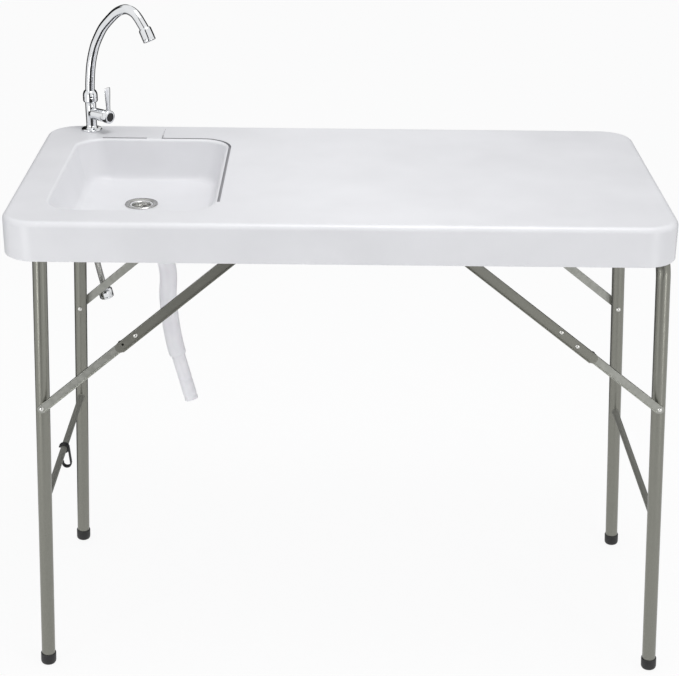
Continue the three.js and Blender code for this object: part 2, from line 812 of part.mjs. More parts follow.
for (const [frame, barHeight] of [[leftFrame, leftCrossbarHeight], [rightFrame, rightCrossbarHeight]]) {
  place(`${frame.name}_leg_frame`, legTube(frame, legTubeRadius), coatedSteel);
  place(`${frame.name}_crossbar`, crossbar(frame, barHeight), coatedSteel);
  for (const y of [-legSpan / 2, legSpan / 2]) {
    place(`${frame.name}_foot_${y < 0 ? "front" : "back"}`, foot(frame, y), blackPlastic);
  }
  for (const y of [-strapPlace, strapPlace]) strap(frame, y);
}

// Storage clip: an open band on the left crossbar, in one piece with a hook
function clipHook() {
  const outer = [];
  const inner = [];
  const half = clipStrip / 2;
  for (let step = 0; step <= clipHookSteps; step += 1) {
    const angle = -(step / clipHookSteps) * clipHookTurn * toRadians;
    const direction = [Math.cos(angle), Math.sin(angle)];
    for (const [edge, radius] of [[outer, clipHookRadius + half], [inner, clipHookRadius - half]]) {
      const x = clipHookReach - clipHookRadius + radius * direction[0];
      edge.push(new THREE.Vector2(x, radius * direction[1] - clipHookDrop));
    }
  }
  const root = clipBandRadius - clipStrip;
  outer.unshift(new THREE.Vector2(root + clipStrip, 0));
  inner.unshift(new THREE.Vector2(root, 0));
  return new THREE.Shape([...outer, ...inner.reverse()]);
}

function clip() {
  const half = clipBandHeight / 2;
  const bore = crossbarRadius + seat;
  const band = ringBetween(bore, clipBandRadius, -half, half).rotateX(Math.PI / 2);
  const shaft = new THREE.CylinderGeometry(bore, bore, clipBandHeight + overrun, roundSteps);
  const reach = clipBandRadius + overrun;
  const halfGap = reach * Math.tan(clipGapTurn * toRadians);
  const wedge = new THREE.Shape([
    new THREE.Vector2(0, 0),
    new THREE.Vector2(reach, -halfGap),
    new THREE.Vector2(reach, halfGap),
  ]);
  const gap = plate(wedge, -half - overrun, half + overrun).rotateY(-clipGapPlace * toRadians);
  return cut(join(band, plate(clipHook(), -half, half)), shaft, gap);
}
const clipCentre = legPoint(leftFrame, leftCrossbarHeight, clipPlace);
place("leg_clip", clip(), blackPlastic, clipCentre.toArray());

// Faucet
const faucetBase = [faucetX, faucetY, topHeight];

place("faucet_flange", turned([
  [shankRadius + 2 * seat, seat],
  [flangeRadius, seat],
  [flangeRadius, flangeHeight / 3],
  [flangeRadius * flangeShoulderShare, flangeHeight * flangeShoulderRiseShare],
  [faucetNeckRadius + faucetNeckFlare, flangeHeight],
  [shankRadius + 2 * seat, flangeHeight],
]), chrome, faucetBase);

function faucetBody() {
  const low = flangeHeight + seat;
  const waist = valveHeight - valveRadius;
  const riser = turned([
    [0, low],
    [faucetNeckRadius + faucetNeckFlare, low],
    [faucetNeckRadius, low + (waist - low) / 3],
    [faucetNeckRadius, waist],
    [riserRadius, valveHeight],
    [riserRadius, riserHeight],
    [0, riserHeight],
  ]);
  const valveRoot = valveRadius * valveTaperShare;
  const barrel = new THREE.CylinderGeometry(valveRadius, valveRoot, valveReach, roundSteps);
  barrel.rotateZ(-Math.PI / 2).translate(valveReach / 2, 0, valveHeight).rotateZ(-valveTurn * toRadians);
  return join(riser, barrel);
}
place("faucet_body", faucetBody(), chrome, faucetBase);

// The lever's hub turns on the valve's axis, and the blade stands up from it
function faucetLever() {
  const hub = new THREE.CylinderGeometry(hubRadius, hubRadius, hubLength, roundSteps).rotateZ(-Math.PI / 2);
  const half = leverWidth / 2;
  const rootHeight = hubRadius * leverRootShare;
  const rootHalf = half * leverRootWidthShare;
  const waistHalf = half * leverWaistWidthShare;
  const shape = new THREE.Shape();
  shape.moveTo(-rootHalf, rootHeight);
  shape.lineTo(rootHalf, rootHeight);
  shape.lineTo(waistHalf, hubRadius + half);
  shape.lineTo(half, leverLength - half);
  shape.absarc(0, leverLength - half, half, 0, Math.PI, false);
  shape.lineTo(-waistHalf, hubRadius + half);
  const blade = plate(shape, -leverThickness / 2, leverThickness / 2).rotateZ(Math.PI / 2);
  const recessRadius = capRadius + seat;
  const recess = new THREE.CylinderGeometry(recessRadius, recessRadius, capHeight + overrun, roundSteps);
  recess.rotateZ(-Math.PI / 2).translate((hubLength + overrun - capHeight) / 2, 0, 0);
  return cut(join(hub, blade), recess);
}
const valveAxis = new THREE.Vector3(Math.cos(valveTurn * toRadians), -Math.sin(valveTurn * toRadians), 0);
const hubOffset = valveReach + seat + hubLength / 2;
const hubCentre = new THREE.Vector3(...faucetBase).addScaledVector(valveAxis, hubOffset);
hubCentre.z += valveHeight;
place("faucet_lever", faucetLever(), chrome, hubCentre.toArray(), [0, 0, -valveTurn * toRadians]);

const capFace = hubCentre.clone().addScaledVector(valveAxis, hubLength / 2 - capHeight + seat);
placeAlong("faucet_lever_cap", turned([
  [0, 0],
  [capRadius, 0],
  [capRadius, capHeight * capEdgeShare],
  [capRadius * capCrownShare, capHeight],
  [0, capHeight],
]), blackPlastic, capFace, valveAxis);

place("faucet_collar", turned([
  [spoutRadius + seat, riserHeight + seat],
  [riserRadius + collarSkirt, riserHeight + seat],
  ...collarWidestShares.map((share) => [collarRadius, riserHeight + collarHeight * share]),
  [collarRadius * collarShoulderRadiusShare, riserHeight + collarHeight * collarShoulderShare],
  [spoutRadius + collarLip, riserHeight + collarHeight],
  [spoutRadius + seat, riserHeight + collarHeight],
]), chrome, faucetBase);

// The swan neck lies in one upright plane that turns with the spout
const spoutAngle = spoutTurn * toRadians;
const spoutDirection = new THREE.Vector3(Math.cos(spoutAngle), -Math.sin(spoutAngle), 0);
function spoutPoint(reach, rise) {
  return new THREE.Vector3(faucetX, faucetY, topHeight + rise).addScaledVector(spoutDirection, reach);
}
const archPoints = archReachShares.map((reachShare, index) => {
  return spoutPoint(reachShare * spoutReach, archRiseShares[index] * spoutRise);
});
const nozzleMouth = spoutPoint(spoutReach, nozzleMouthShare * spoutRise);
const nozzleAxis = nozzleMouth.clone().sub(archPoints[archPoints.length - 1]).normalize();
const neckEnd = nozzleMouth.clone().addScaledVector(nozzleAxis, -nozzleLength - spoutEase);
const spoutEnd = nozzleMouth.clone().addScaledVector(nozzleAxis, nozzleSocket - nozzleLength);

function spoutTube() {
  const start = spoutPoint(0, riserHeight + seat);
  const collarTop = spoutPoint(0, riserHeight + collarHeight);
  const neck = new THREE.CatmullRomCurve3([collarTop, ...archPoints.slice(0, -1), neckEnd]);
  return tube([start, ...neck.getPoints(neckSteps), spoutEnd], spoutRadius, neckSides);
}
place("faucet_spout", spoutTube(), chrome);

const socketDepth = nozzleSocket + seat;
placeAlong("faucet_nozzle", turned([
  [nozzleBore, 0],
  [nozzleRadius - nozzleMouthEdge, 0],
  [nozzleRadius, nozzleMouthEdge],
  [nozzleRadius, nozzleLength - nozzleTopEdge],
  [nozzleRadius - nozzleTopStep, nozzleLength],
  [spoutRadius + 2 * seat, nozzleLength],
  [spoutRadius + 2 * seat, nozzleLength - socketDepth],
  [nozzleBore, nozzleLength - socketDepth],
]), chrome, nozzleMouth, nozzleAxis.clone().negate());

place("faucet_shank", turned([
  [shankBoreRadius, -shankLength],
  [shankRadius, -shankLength],
  [shankRadius, flangeHeight],
  [shankBoreRadius, flangeHeight],
]), brightSteel, faucetBase);

const locknutTop = panelUnderside - seat;
const locknutLow = locknutTop - locknutHeight;
const locknutBore = disc(shankRadius + seat, locknutLow - overrun, locknutTop + overrun);
const locknut = cut(disc(locknutRadius, locknutLow, locknutTop, locknutSides), locknutBore);
place("faucet_locknut", locknut, brightSteel, [faucetX, faucetY, 0]);

// Supply hose, its crimped ferrules and the swivel connector
const shankEnd = topHeight - shankLength;
const supplyTop = new THREE.Vector3(faucetX, faucetY, shankEnd - ferruleLength - seat);
const supplyPoints = routeFrom(supplyTop, supplyHoseRoute);
const supplyFoot = supplyPoints[supplyPoints.length - 1];
const supplyAxis = supplyFoot.clone().sub(supplyPoints[supplyPoints.length - 2]).normalize();
place("supply_hose", tube(supplyPoints, supplyRadius, cordSides, supplyBoreRadius), braid);
const topFerrule = ringBetween(shankBoreRadius, ferruleRadius, supplyTop.z + seat, shankEnd - seat);
place("supply_top_ferrule", topFerrule, chrome, [faucetX, faucetY, 0]);
const nippleStart = supplyFoot.clone().addScaledVector(supplyAxis, seat);
placeAlong("supply_end_ferrule", turned([
  [supplyBoreRadius, 0],
  [ferruleRadius, 0],
  [ferruleRadius, ferruleLength * ferruleCrimpShare],
  [nippleRadius, ferruleLength * ferruleCrimpShare],
  [nippleRadius, ferruleLength],
  [supplyBoreRadius, ferruleLength],
]), chrome, nippleStart, supplyAxis);
const crimpLength = ferruleLength * ferruleCrimpShare;
const connectorStart = nippleStart.clone().addScaledVector(supplyAxis, crimpLength + seat);
placeAlong("supply_connector", turned([
  [nippleRadius + seat, 0],
  [connectorRadius - connectorShoulder, 0],
  [connectorRadius, connectorShoulder],
  [connectorRadius, connectorLength - connectorEdge],
  [connectorRadius - connectorEdge, connectorLength],
  [connectorBore, connectorLength],
  [connectorBore, connectorFace],
  [nippleRadius + seat, connectorFace],
], connectorSides), chrome, connectorStart, supplyAxis);

// Drain: strainer, threaded body, gasket and nut
const drainPlace = [drainX, drainY, 0];
const cupBottom = drainSeat - cupDepth;

function strainer() {
  const top = drainSeat + seat;
  const body = turned([
    [0, cupBottom],
    [cupRadius, cupBottom],
    [cupRadius, top],
    [strainerRadius, top],
    [strainerRadius, top + strainerThickness / 2],
    [strainerRadius - strainerThickness, top + strainerThickness],
    [cupRadius - cupWall + strainerThickness, top + strainerThickness],
    [cupRadius - cupWall, top],
    [cupRadius - cupWall, cupBottom + cupWall],
    [0, cupBottom + cupWall],
  ]);
  const hole = () => disc(strainerHole, cupBottom - overrun, cupBottom + cupWall + overrun, cordSides);
  const holes = [hole()];
  for (let index = 0; index < strainerHoles; index += 1) {
    const angle = (index / strainerHoles) * 2 * Math.PI;
    holes.push(hole().translate(strainerHoleRing, 0, 0).rotateZ(angle));
  }
  return cut(body, ...holes);
}
place("drain_strainer", strainer(), brightSteel, drainPlace);

const bodyLow = drainSeat - drainBodyDepth;
const spigotLow = bodyLow - spigotLength;
place("drain_body", turned([
  [cupRadius + seat, drainSeat],
  [drainBodyRadius, drainSeat],
  [drainBodyRadius, bodyLow + drainBodyTaper],
  [hoseRadius, bodyLow],
  [spigotRadius, bodyLow],
  [spigotRadius, spigotLow],
  [spigotBoreRadius, spigotLow],
  [spigotBoreRadius, bodyLow],
  [cupRadius + seat, bodyLow + drainThroatTaper],
]), hosePlastic, drainPlace);

const gasketTop = drainSeat - basinWall - seat;
const gasketLow = gasketTop - gasketThickness;
const gasket = ringBetween(drainBodyRadius + seat, gasketRadius, gasketLow, gasketTop);
place("drain_gasket", gasket, rubber, drainPlace);

function drainNut() {
  const top = gasketLow - seat;
  const low = top - drainNutHeight;
  const ringNut = ringBetween(drainBodyRadius + seat, drainNutRadius, low, top);
  const lugRoot = drainNutRadius - drainNutLugRoot;
  const lugEnd = drainNutRadius + drainNutLug;
  const lugs = [];
  for (let index = 0; index < drainNutLugs; index += 1) {
    const lug = block(lugRoot, lugEnd, -drainNutLug, drainNutLug, low, top);
    lugs.push(lug.rotateZ((index / drainNutLugs) * 2 * Math.PI));
  }
  return join(ringNut, ...lugs);
}
place("drain_locknut", drainNut(), hosePlastic, drainPlace);

// Drain hose and its cuff
const hoseStart = new THREE.Vector3(drainX, drainY, bodyLow - seat);
const hosePoints = routeFrom(hoseStart, drainHoseRoute);
const hoseEnd = hosePoints[hosePoints.length - 1];
place("drain_hose", tube(hosePoints, hoseRadius, hoseSides, hoseBoreRadius), hosePlastic);

const cuffAxis = hoseEnd.clone().sub(hosePoints[hosePoints.length - 2]).normalize();
placeAlong("drain_cuff", turned([
  [cuffBoreRadius, 0],
  [cuffCollar, 0],
  [cuffCollar, cuffCollarLength],
  [cuffRadius, cuffCollarLength + cuffCollarEase],
  [cuffRadius * cuffTaperShare, cuffLength],
  [cuffBoreRadius, cuffLength],
]), hosePlastic, hoseEnd.clone().addScaledVector(cuffAxis, seat), cuffAxis);

// The middle of the whole stand comes to x = 0
stand.updateMatrixWorld(true);
const bounds = new THREE.Box3().setFromObject(stand, true);
stand.position.x = -(bounds.min.x + bounds.max.x) / 2;

export default stand;
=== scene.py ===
# %% [markdown]
# # A folding camping table with a moulded sink
# The real table has a white plastic top on two bent steel leg frames that fold
# up under it. A basin, a swan-neck faucet and a drain hose stand at its left end.
# This lesson builds its looks around solids that were packed before. They fix
# every size and every place, so a piece only has to be made where its solid is.

import json
import math

import bpy
from mathutils import Matrix, Vector

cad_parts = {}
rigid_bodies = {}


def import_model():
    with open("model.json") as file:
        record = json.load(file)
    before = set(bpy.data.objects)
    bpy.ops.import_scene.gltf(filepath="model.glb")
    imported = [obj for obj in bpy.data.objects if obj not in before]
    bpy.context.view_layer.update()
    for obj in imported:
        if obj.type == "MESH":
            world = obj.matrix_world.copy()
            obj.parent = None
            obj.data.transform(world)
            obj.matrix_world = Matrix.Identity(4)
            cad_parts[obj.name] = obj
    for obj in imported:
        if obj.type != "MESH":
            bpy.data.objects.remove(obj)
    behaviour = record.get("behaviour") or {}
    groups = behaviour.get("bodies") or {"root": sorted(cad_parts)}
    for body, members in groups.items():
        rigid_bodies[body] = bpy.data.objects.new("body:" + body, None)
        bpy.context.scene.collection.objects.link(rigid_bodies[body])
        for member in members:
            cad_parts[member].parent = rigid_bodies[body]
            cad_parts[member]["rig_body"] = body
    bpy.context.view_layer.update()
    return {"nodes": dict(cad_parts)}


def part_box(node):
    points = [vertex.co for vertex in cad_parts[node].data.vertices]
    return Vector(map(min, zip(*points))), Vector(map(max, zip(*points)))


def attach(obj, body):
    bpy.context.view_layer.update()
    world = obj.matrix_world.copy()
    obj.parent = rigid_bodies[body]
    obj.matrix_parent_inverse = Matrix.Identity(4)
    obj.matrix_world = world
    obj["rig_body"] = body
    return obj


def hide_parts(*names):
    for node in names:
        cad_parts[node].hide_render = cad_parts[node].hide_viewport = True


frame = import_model()

# %% [markdown]
# ## Units
# Blender works in metres and a workshop drawing in millimetres. One factor turns
# the drawing's numbers into metres. The whole table was moved along X to stand
# over the origin, so the drawing's X values are moved by the same amount.

# %% Units
MM = 0.001
SHIFT = -20.909


def metres(points):
    """The drawing's points, in metres."""
    return [Vector(point) * MM for point in points]


print("one millimetre is", MM, "m")

# %% [markdown]
# ## Camera
# The photograph was taken from the front, above the worktop, with a fairly long
# lens. Place, direction and lens come from matching the corners of the top and
# the feet to their places in the picture. A camera looks along its own -Z, so
# its matrix is built from its right, its up and the reverse of its view.

# %% Camera
EYE = Vector((-0.034089, -2.87092, 1.82359))
YAW, PITCH, ROLL = 0.0052, 0.4079, 0.0120

view = Vector((math.sin(YAW) * math.cos(PITCH), math.cos(YAW) * math.cos(PITCH), -math.sin(PITCH)))
level = Vector((math.cos(YAW), -math.sin(YAW), 0))
upright = level.cross(view)
camera_right = math.cos(ROLL) * level + math.sin(ROLL) * upright
camera_up = math.cos(ROLL) * upright - math.sin(ROLL) * level
bpy.ops.object.camera_add(location=EYE)
camera = bpy.context.object
turn = Matrix((camera_right, camera_up, -view)).transposed()
camera.matrix_world = Matrix.Translation(EYE) @ turn.to_4x4()
camera.data.sensor_width = 36
camera.data.lens = 86.68
bpy.context.scene.camera = camera
bpy.context.scene.view_settings.view_transform = "Standard"
print("camera", tuple(round(c, 3) for c in EYE), "lens", camera.data.lens, "mm")

# %% [markdown]
# ## Colours and nodes
# A colour is written as the hex value that a painter would pick on a screen.
# Shaders add up light, so they need linear values, and one function turns the
# one into the other. A second function adds a node with settings and links.


def linear(hex_colour):
    """A hex colour as linear red, green, blue and a full alpha."""
    parts = [int(hex_colour[i:i + 2], 16) / 255 for i in (1, 3, 5)]
    return [c / 12.92 if c <= 0.04045 else ((c + 0.055) / 1.055) ** 2.4 for c in parts] + [1.0]


def link(tree, node, sources):
    """Links sockets, or nodes that stand for their first output, to the inputs of a node."""
    for key, source in sources.items():
        socket = source.outputs[0] if hasattr(source, "outputs") else source
        tree.links.new(socket, node.inputs[key])


def add_node(tree, kind, settings=None, links=None):
    """Adds a shader node, sets its values and links its inputs."""
    node = tree.nodes.new("ShaderNode" + kind)
    for key, value in (settings or {}).items():
        if key == "stops":
            ramp = node.color_ramp
            while len(ramp.elements) < len(value):
                ramp.elements.new(0.5)
            for element, (place, colour) in zip(ramp.elements, value):
                element.position = place
                element.color = linear(colour)
        elif isinstance(key, int) or key in node.inputs:
            node.inputs[key].default_value = value
        else:
            setattr(node, key, value)
    link(tree, node, links or {})
    return node


def new_material(name, settings):
    """A material with one Principled shader, its tree, the shader and the texture coordinates."""
    material = bpy.data.materials.new(name)
    material.use_nodes = True
    tree = material.node_tree
    tree.nodes.clear()
    shader = add_node(tree, "BsdfPrincipled", settings)
    add_node(tree, "OutputMaterial", {}, {"Surface": shader})
    return material, tree, shader, add_node(tree, "TexCoord").outputs


print("mid grey #808080 is", round(linear("#808080")[0], 3), "in linear light")

# %% [markdown]
# ## Floor and light
# A product photograph is taken on a sweep of white paper under large soft lamps.
# To the camera a part of the floor's white is given as light, so it looks burnt
# out as in the photograph and still keeps the shadow. Polished metal shows what
# stands round it. A photographer puts dark cards round a chrome piece to give it
# black contour lines, a narrow one under the lens and wide ones behind. Here they
# are drawn into what reflections see, by their direction from the faucet's foot,
# low on the world and on the floor away from the table.

# %% Dark cards
CARDS = [
    (0.0, "#ffffff"), (0.216, "#ffffff"), (0.226, "#161616"), (0.268, "#161616"), (0.278, "#ffffff"),
    (0.565, "#ffffff"), (0.585, "#141414"), (0.735, "#141414"), (0.745, "#e0e0e0"), (0.755, "#e0e0e0"),
    (0.765, "#141414"), (0.975, "#141414"), (0.995, "#ffffff"),
]


def dark_cards(tree, direction, near, far, channel):
    """White with dark cards by compass direction, fading out between two values of a channel."""
    compass = add_node(tree, "TexGradient", {"gradient_type": "RADIAL"}, {"Vector": direction})
    bands = add_node(tree, "ValToRGB", {"stops": CARDS}, {"Fac": compass.outputs["Fac"]})
    open_part = add_node(tree, "MapRange", {"From Min": near, "From Max": far}, {"Value": channel})
    mixed = {"data_type": "RGBA", 7: linear("#ffffff")}
    return add_node(tree, "Mix", mixed, {0: open_part, 6: bands}).outputs[2]


print("cards by compass direction:", len(CARDS), "stops")

# %% Floor
SHOWN_WHITE = 0.91
CARDS_START, CARDS_FULL = 1.23, 1.43

bpy.ops.mesh.primitive_plane_add(size=60, location=(0, 0, 0))
floor = bpy.context.object
floor.name = "paper_floor"
paper, tree, shader, place = new_material(
    "white_paper_sweep", {"Base Color": linear("#f4f4f4"), "Roughness": 0.9}
)
ray = add_node(tree, "LightPath").outputs
seen = add_node(
    tree, "Math", {"operation": "MAXIMUM"}, {0: ray["Is Camera Ray"], 1: ray["Is Glossy Ray"]}
)
seen_too = add_node(tree, "Math", {"operation": "MAXIMUM"}, {0: seen, 1: ray["Is Transmission Ray"]})
white_share = add_node(tree, "Math", {"operation": "MULTIPLY", 1: SHOWN_WHITE}, {0: seen_too})
here = {"Vector": place["Object"]}
from_faucet = add_node(tree, "Mapping", {"Location": (0.512, -0.26, 0)}, here)
from_front = add_node(tree, "Mapping", {"Location": (0, 0.675, 0), "Scale": (1.33, 1, 1)}, here)
distance = add_node(tree, "VectorMath", {"operation": "LENGTH"}, {0: from_front})
card_colour = dark_cards(tree, from_faucet, CARDS_FULL, CARDS_START, distance.outputs["Value"])
white_or_card = add_node(
    tree, "Mix", {"data_type": "RGBA", 6: linear("#ffffff")}, {0: ray["Is Glossy Ray"], 7: card_colour}
)
white = add_node(tree, "Emission", {}, {"Color": white_or_card.outputs[2]})
lit_paper = add_node(tree, "MixShader", {}, {0: white_share, 1: shader, 2: white})
link(tree, tree.nodes["Material Output"], {"Surface": lit_paper})
floor.data.materials.append(paper)
print("floor", tuple(round(d, 1) for d in floor.dimensions), "m")

# %% [markdown]
# One more card lies on the worktop, pointed at the faucet's foot. It gives the
# neck and the body the black line down their middle. Only reflections see it,
# and only from above, so it neither shades the worktop nor hides it.

# %% Card on the worktop
bpy.ops.mesh.primitive_circle_add(
    vertices=3, radius=0.367, fill_type="NGON", location=(-0.421, -0.088, 0.9165)
)
card = bpy.context.object
card.name = "dark_card_on_worktop"
card.scale = (0.72, 1, 1)
card.rotation_euler = (0, 0, math.radians(15))
card_paper, tree, shader, _ = new_material(
    "black_card", {"Base Color": linear("#141414"), "Roughness": 0.9}
)
ray = add_node(tree, "LightPath").outputs
side_seen = add_node(tree, "NewGeometry").outputs
from_above = add_node(
    tree, "Math", {"operation": "SUBTRACT", "use_clamp": True},
    {0: ray["Is Glossy Ray"], 1: side_seen["Backfacing"]},
)
clear = add_node(tree, "BsdfTransparent")
either = add_node(tree, "MixShader", {}, {0: from_above, 1: clear, 2: shader})
link(tree, tree.nodes["Material Output"], {"Surface": either})
card.data.materials.append(card_paper)
print("card", tuple(round(d, 2) for d in card.dimensions), "m")

# %% [markdown]
# The world is the white room round the table. It lights the table less than it
# shows itself, so that white plastic keeps its shades. One large lamp hangs above
# and two upright strips draw a bright line down each leg.

# %% World and lamps
world = bpy.data.worlds.new("white_studio")
bpy.context.scene.world = world
world.use_nodes = True
tree = world.node_tree
tree.nodes.clear()
direction = add_node(tree, "TexCoord").outputs["Generated"]
height = add_node(tree, "SeparateXYZ", {}, {0: direction})
card_colour = dark_cards(tree, direction, 0.5, 0.7, height.outputs["Z"])
ray = add_node(tree, "LightPath").outputs
ambient = add_node(tree, "Background", {"Color": linear("#fbfcff"), "Strength": 0.66})
reflected = add_node(tree, "Background", {}, {"Color": card_colour})
plain = add_node(tree, "Background", {"Color": linear("#ffffff")})
with_cards = add_node(tree, "MixShader", {}, {0: ray["Is Glossy Ray"], 1: ambient, 2: reflected})
seen = add_node(
    tree, "Math", {"operation": "MAXIMUM"}, {0: ray["Is Camera Ray"], 1: ray["Is Transmission Ray"]}
)
studio = add_node(tree, "MixShader", {}, {0: seen, 1: with_cards, 2: plain})
add_node(tree, "OutputWorld", {}, {"Surface": studio})


def soft_lamp(name, place, target, width, height, watts):
    """A lamp with a white screen that looks at a target."""
    bpy.ops.object.light_add(type="AREA", location=place)
    lamp = bpy.context.object
    lamp.name = name
    lamp.data.shape = "RECTANGLE"
    lamp.data.size = width
    lamp.data.size_y = height
    lamp.data.energy = watts
    lamp.rotation_euler = (Vector(target) - Vector(place)).to_track_quat("-Z", "Y").to_euler()


soft_lamp("lamp_overhead", (0.25, -0.45, 3.1), (-0.2, 0, 0.8), 1.0, 1.0, 25)
soft_lamp("strip_left", (-1.6, -1.7, 0.62), (-0.5, 0, 0.6), 0.3, 1.1, 7)
soft_lamp("strip_right", (1.6, -1.7, 0.62), (0.5, 0, 0.6), 0.3, 1.1, 5)

# %% [markdown]
# ## Helpers for modelling
# An operator works on all that is selected, so every step starts from a clean
# selection, and parts of a mesh are picked by where they are.

# %% Selecting
NEAR = 1e-6
MERGED = 1e-5


def deselect():
    """Leaves edit mode and selects nothing."""
    if bpy.context.object and bpy.context.object.mode != "OBJECT":
        bpy.ops.object.mode_set(mode="OBJECT")
    bpy.ops.object.select_all(action="DESELECT")


def active(piece):
    """Selects one piece alone and makes it active."""
    deselect()
    piece.select_set(True)
    bpy.context.view_layer.objects.active = piece


def pick(piece, kind, test):
    """Picks edges by a test of their two ends, or faces by their centre, and stays in edit mode."""
    active(piece)
    bpy.ops.object.mode_set(mode="EDIT")
    bpy.ops.mesh.select_mode(type=kind)
    bpy.ops.mesh.select_all(action="DESELECT")
    bpy.ops.object.mode_set(mode="OBJECT")
    mesh = piece.data
    if kind == "EDGE":
        for edge in mesh.edges:
            edge.select = test(*(mesh.vertices[i].co for i in edge.vertices))
    else:
        for face in mesh.polygons:
            face.select = test(face.center)
    bpy.ops.object.mode_set(mode="EDIT")


def edit_all():
    """Enters edit mode with the whole mesh selected."""
    bpy.ops.object.mode_set(mode="EDIT")
    bpy.ops.mesh.select_all(action="SELECT")


def face_outwards():
    """Turns all faces of the mesh in edit mode outwards and leaves edit mode."""
    bpy.ops.mesh.select_all(action="SELECT")
    bpy.ops.mesh.normals_make_consistent(inside=False)
    bpy.ops.object.mode_set(mode="OBJECT")


def settle(piece):
    """Bakes an object's place, turn and scale into its mesh."""
    active(piece)
    bpy.ops.object.transform_apply(location=True, rotation=True, scale=True)
    return piece


def apply_modifier(piece, kind, **settings):
    """Adds one modifier and applies it."""
    active(piece)
    modifier = piece.modifiers.new(kind.lower(), kind)
    for key, value in settings.items():
        setattr(modifier, key, value)
    bpy.ops.object.modifier_apply(modifier=modifier.name)


def combine(piece, tool, operation):
    """Cuts a piece with a tool, or joins the tool to it, and throws the tool away."""
    apply_modifier(piece, "BOOLEAN", operation=operation, object=tool, solver="EXACT")
    bpy.data.objects.remove(tool)


deselect()
print("helpers ready")

# %% [markdown]
# ## Turned pieces
# Flanges, nuts, caps and ferrules come from a lathe. A filled circle is drawn
# up, ring by ring, and each ring is scaled to the radius of the profile there.

# %% Lathe
def next_ring(height, next_height, share_x, share_y, middle=(0, 0)):
    """Draws the selected ring on from one height to the next, in millimetres, and scales it there."""
    rise = (0, 0, (next_height - height) * MM)
    bpy.ops.mesh.extrude_region_move(TRANSFORM_OT_translate={"value": rise})
    bpy.ops.transform.resize(value=(share_x, share_y, 1), center_override=(*middle, next_height * MM))


def turned(profile, place=(0, 0, 0), axis=(0, 0, 1), sides=64):
    """A closed round piece from rows of radius and height, set on a place along an axis."""
    deselect()
    radius, height = profile[0]
    bpy.ops.mesh.primitive_circle_add(
        vertices=sides, radius=radius * MM, fill_type="NGON", location=(0, 0, height * MM)
    )
    piece = bpy.context.object
    bpy.ops.object.mode_set(mode="EDIT")
    for next_radius, next_height in profile[1:]:
        next_ring(height, next_height, next_radius / radius, next_radius / radius)
        radius, height = next_radius, next_height
    face_outwards()
    settle(piece)
    piece.rotation_euler = Vector(axis).to_track_quat("Z", "Y").to_euler()
    piece.location = Vector(place) * MM
    return settle(piece)


print("lathe ready")

# %% [markdown]
# ## Skins along a line
# A bent tube or a hose is a ring carried along a line. Each ring stands square
# to the line and turns as little as it can. The rings also give the skin its UV
# map: U goes round it and V counts the metres along it, so a weave follows it.

# %% Smooth lines and sweeps
def smooth_line(points, steps=8):
    """A smooth line through the points, with that many steps between two of them."""
    line = []
    last = len(points) - 1
    for i in range(last):
        a, b = points[max(i - 1, 0)], points[i]
        c, d = points[i + 1], points[min(i + 2, last)]
        for step in range(steps):
            t = step / steps
            line.append(
                0.5 * (2 * b + (c - a) * t + (2 * a - 5 * b + 4 * c - d) * t ** 2
                       + (3 * b - a - 3 * c + d) * t ** 3)
            )
    line.append(points[last])
    return line


def line_length(line):
    """The length of a line of points."""
    return sum((b - a).length for a, b in zip(line, line[1:]))


def sweep(line, radii, sides):
    """A closed round skin along a line, with one radius for each point, in metres."""
    points, faces, lengths = [], [], [0.0]
    for a, b in zip(line, line[1:]):
        lengths.append(lengths[-1] + (b - a).length)
    across = (line[1] - line[0]).orthogonal().normalized()
    for i, (centre, radius) in enumerate(zip(line, radii)):
        along = (line[min(i + 1, len(line) - 1)] - line[max(i - 1, 0)]).normalized()
        across = (across - along * across.dot(along)).normalized()
        other = along.cross(across)
        for k in range(sides):
            angle = 2 * math.pi * k / sides
            points.append(centre + radius * (math.cos(angle) * across + math.sin(angle) * other))
    for i in range(len(line) - 1):
        for k in range(sides):
            low, high = i * sides + k, i * sides + (k + 1) % sides
            faces.append((low, high, high + sides, low + sides))
    faces.append(tuple(reversed(range(sides))))
    faces.append(tuple(range((len(line) - 1) * sides, len(line) * sides)))
    mesh = bpy.data.meshes.new("skin")
    mesh.from_pydata(points, [], faces)
    uv = mesh.uv_layers.new(name="around")
    for face in mesh.polygons[:-2]:
        for corner, (k, i) in zip(face.loop_indices, ((0, 0), (1, 0), (1, 1), (0, 1))):
            first = face.vertices[0]
            uv.data[corner].uv = ((first % sides + k) / sides, lengths[first // sides + i])
    piece = bpy.data.objects.new("skin", mesh)
    bpy.context.scene.collection.objects.link(piece)
    return piece


print("sweeps ready")

# %% [markdown]
# ## Giving a piece its name, finish and body
# A finished piece rides on a body of the folding table, takes one finish and
# hides the plain solid that it stands for. A solid whose form is already right
# is copied, its loose triangles are merged and its hard edges are eased by a
# few tenths of a millimetre, because no real edge is perfectly sharp.

# %% Finishing and dressing
SHEET_EASE = 0.3


def finish(piece, name, material, node=None, angle=32, body=None):
    """Names and smooths a piece, and ties it to its finish, its solid and that solid's body."""
    settle(piece)
    piece.name = name
    piece.data.name = name
    bpy.ops.object.shade_smooth_by_angle(angle=math.radians(angle))
    piece.data.materials.clear()
    piece.data.materials.append(material)
    if node:
        body = frame["nodes"][node]["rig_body"]
    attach(piece, body)
    if node:
        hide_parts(node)
    print(f"{name}: {len(piece.data.polygons)} faces on {body}")
    return piece


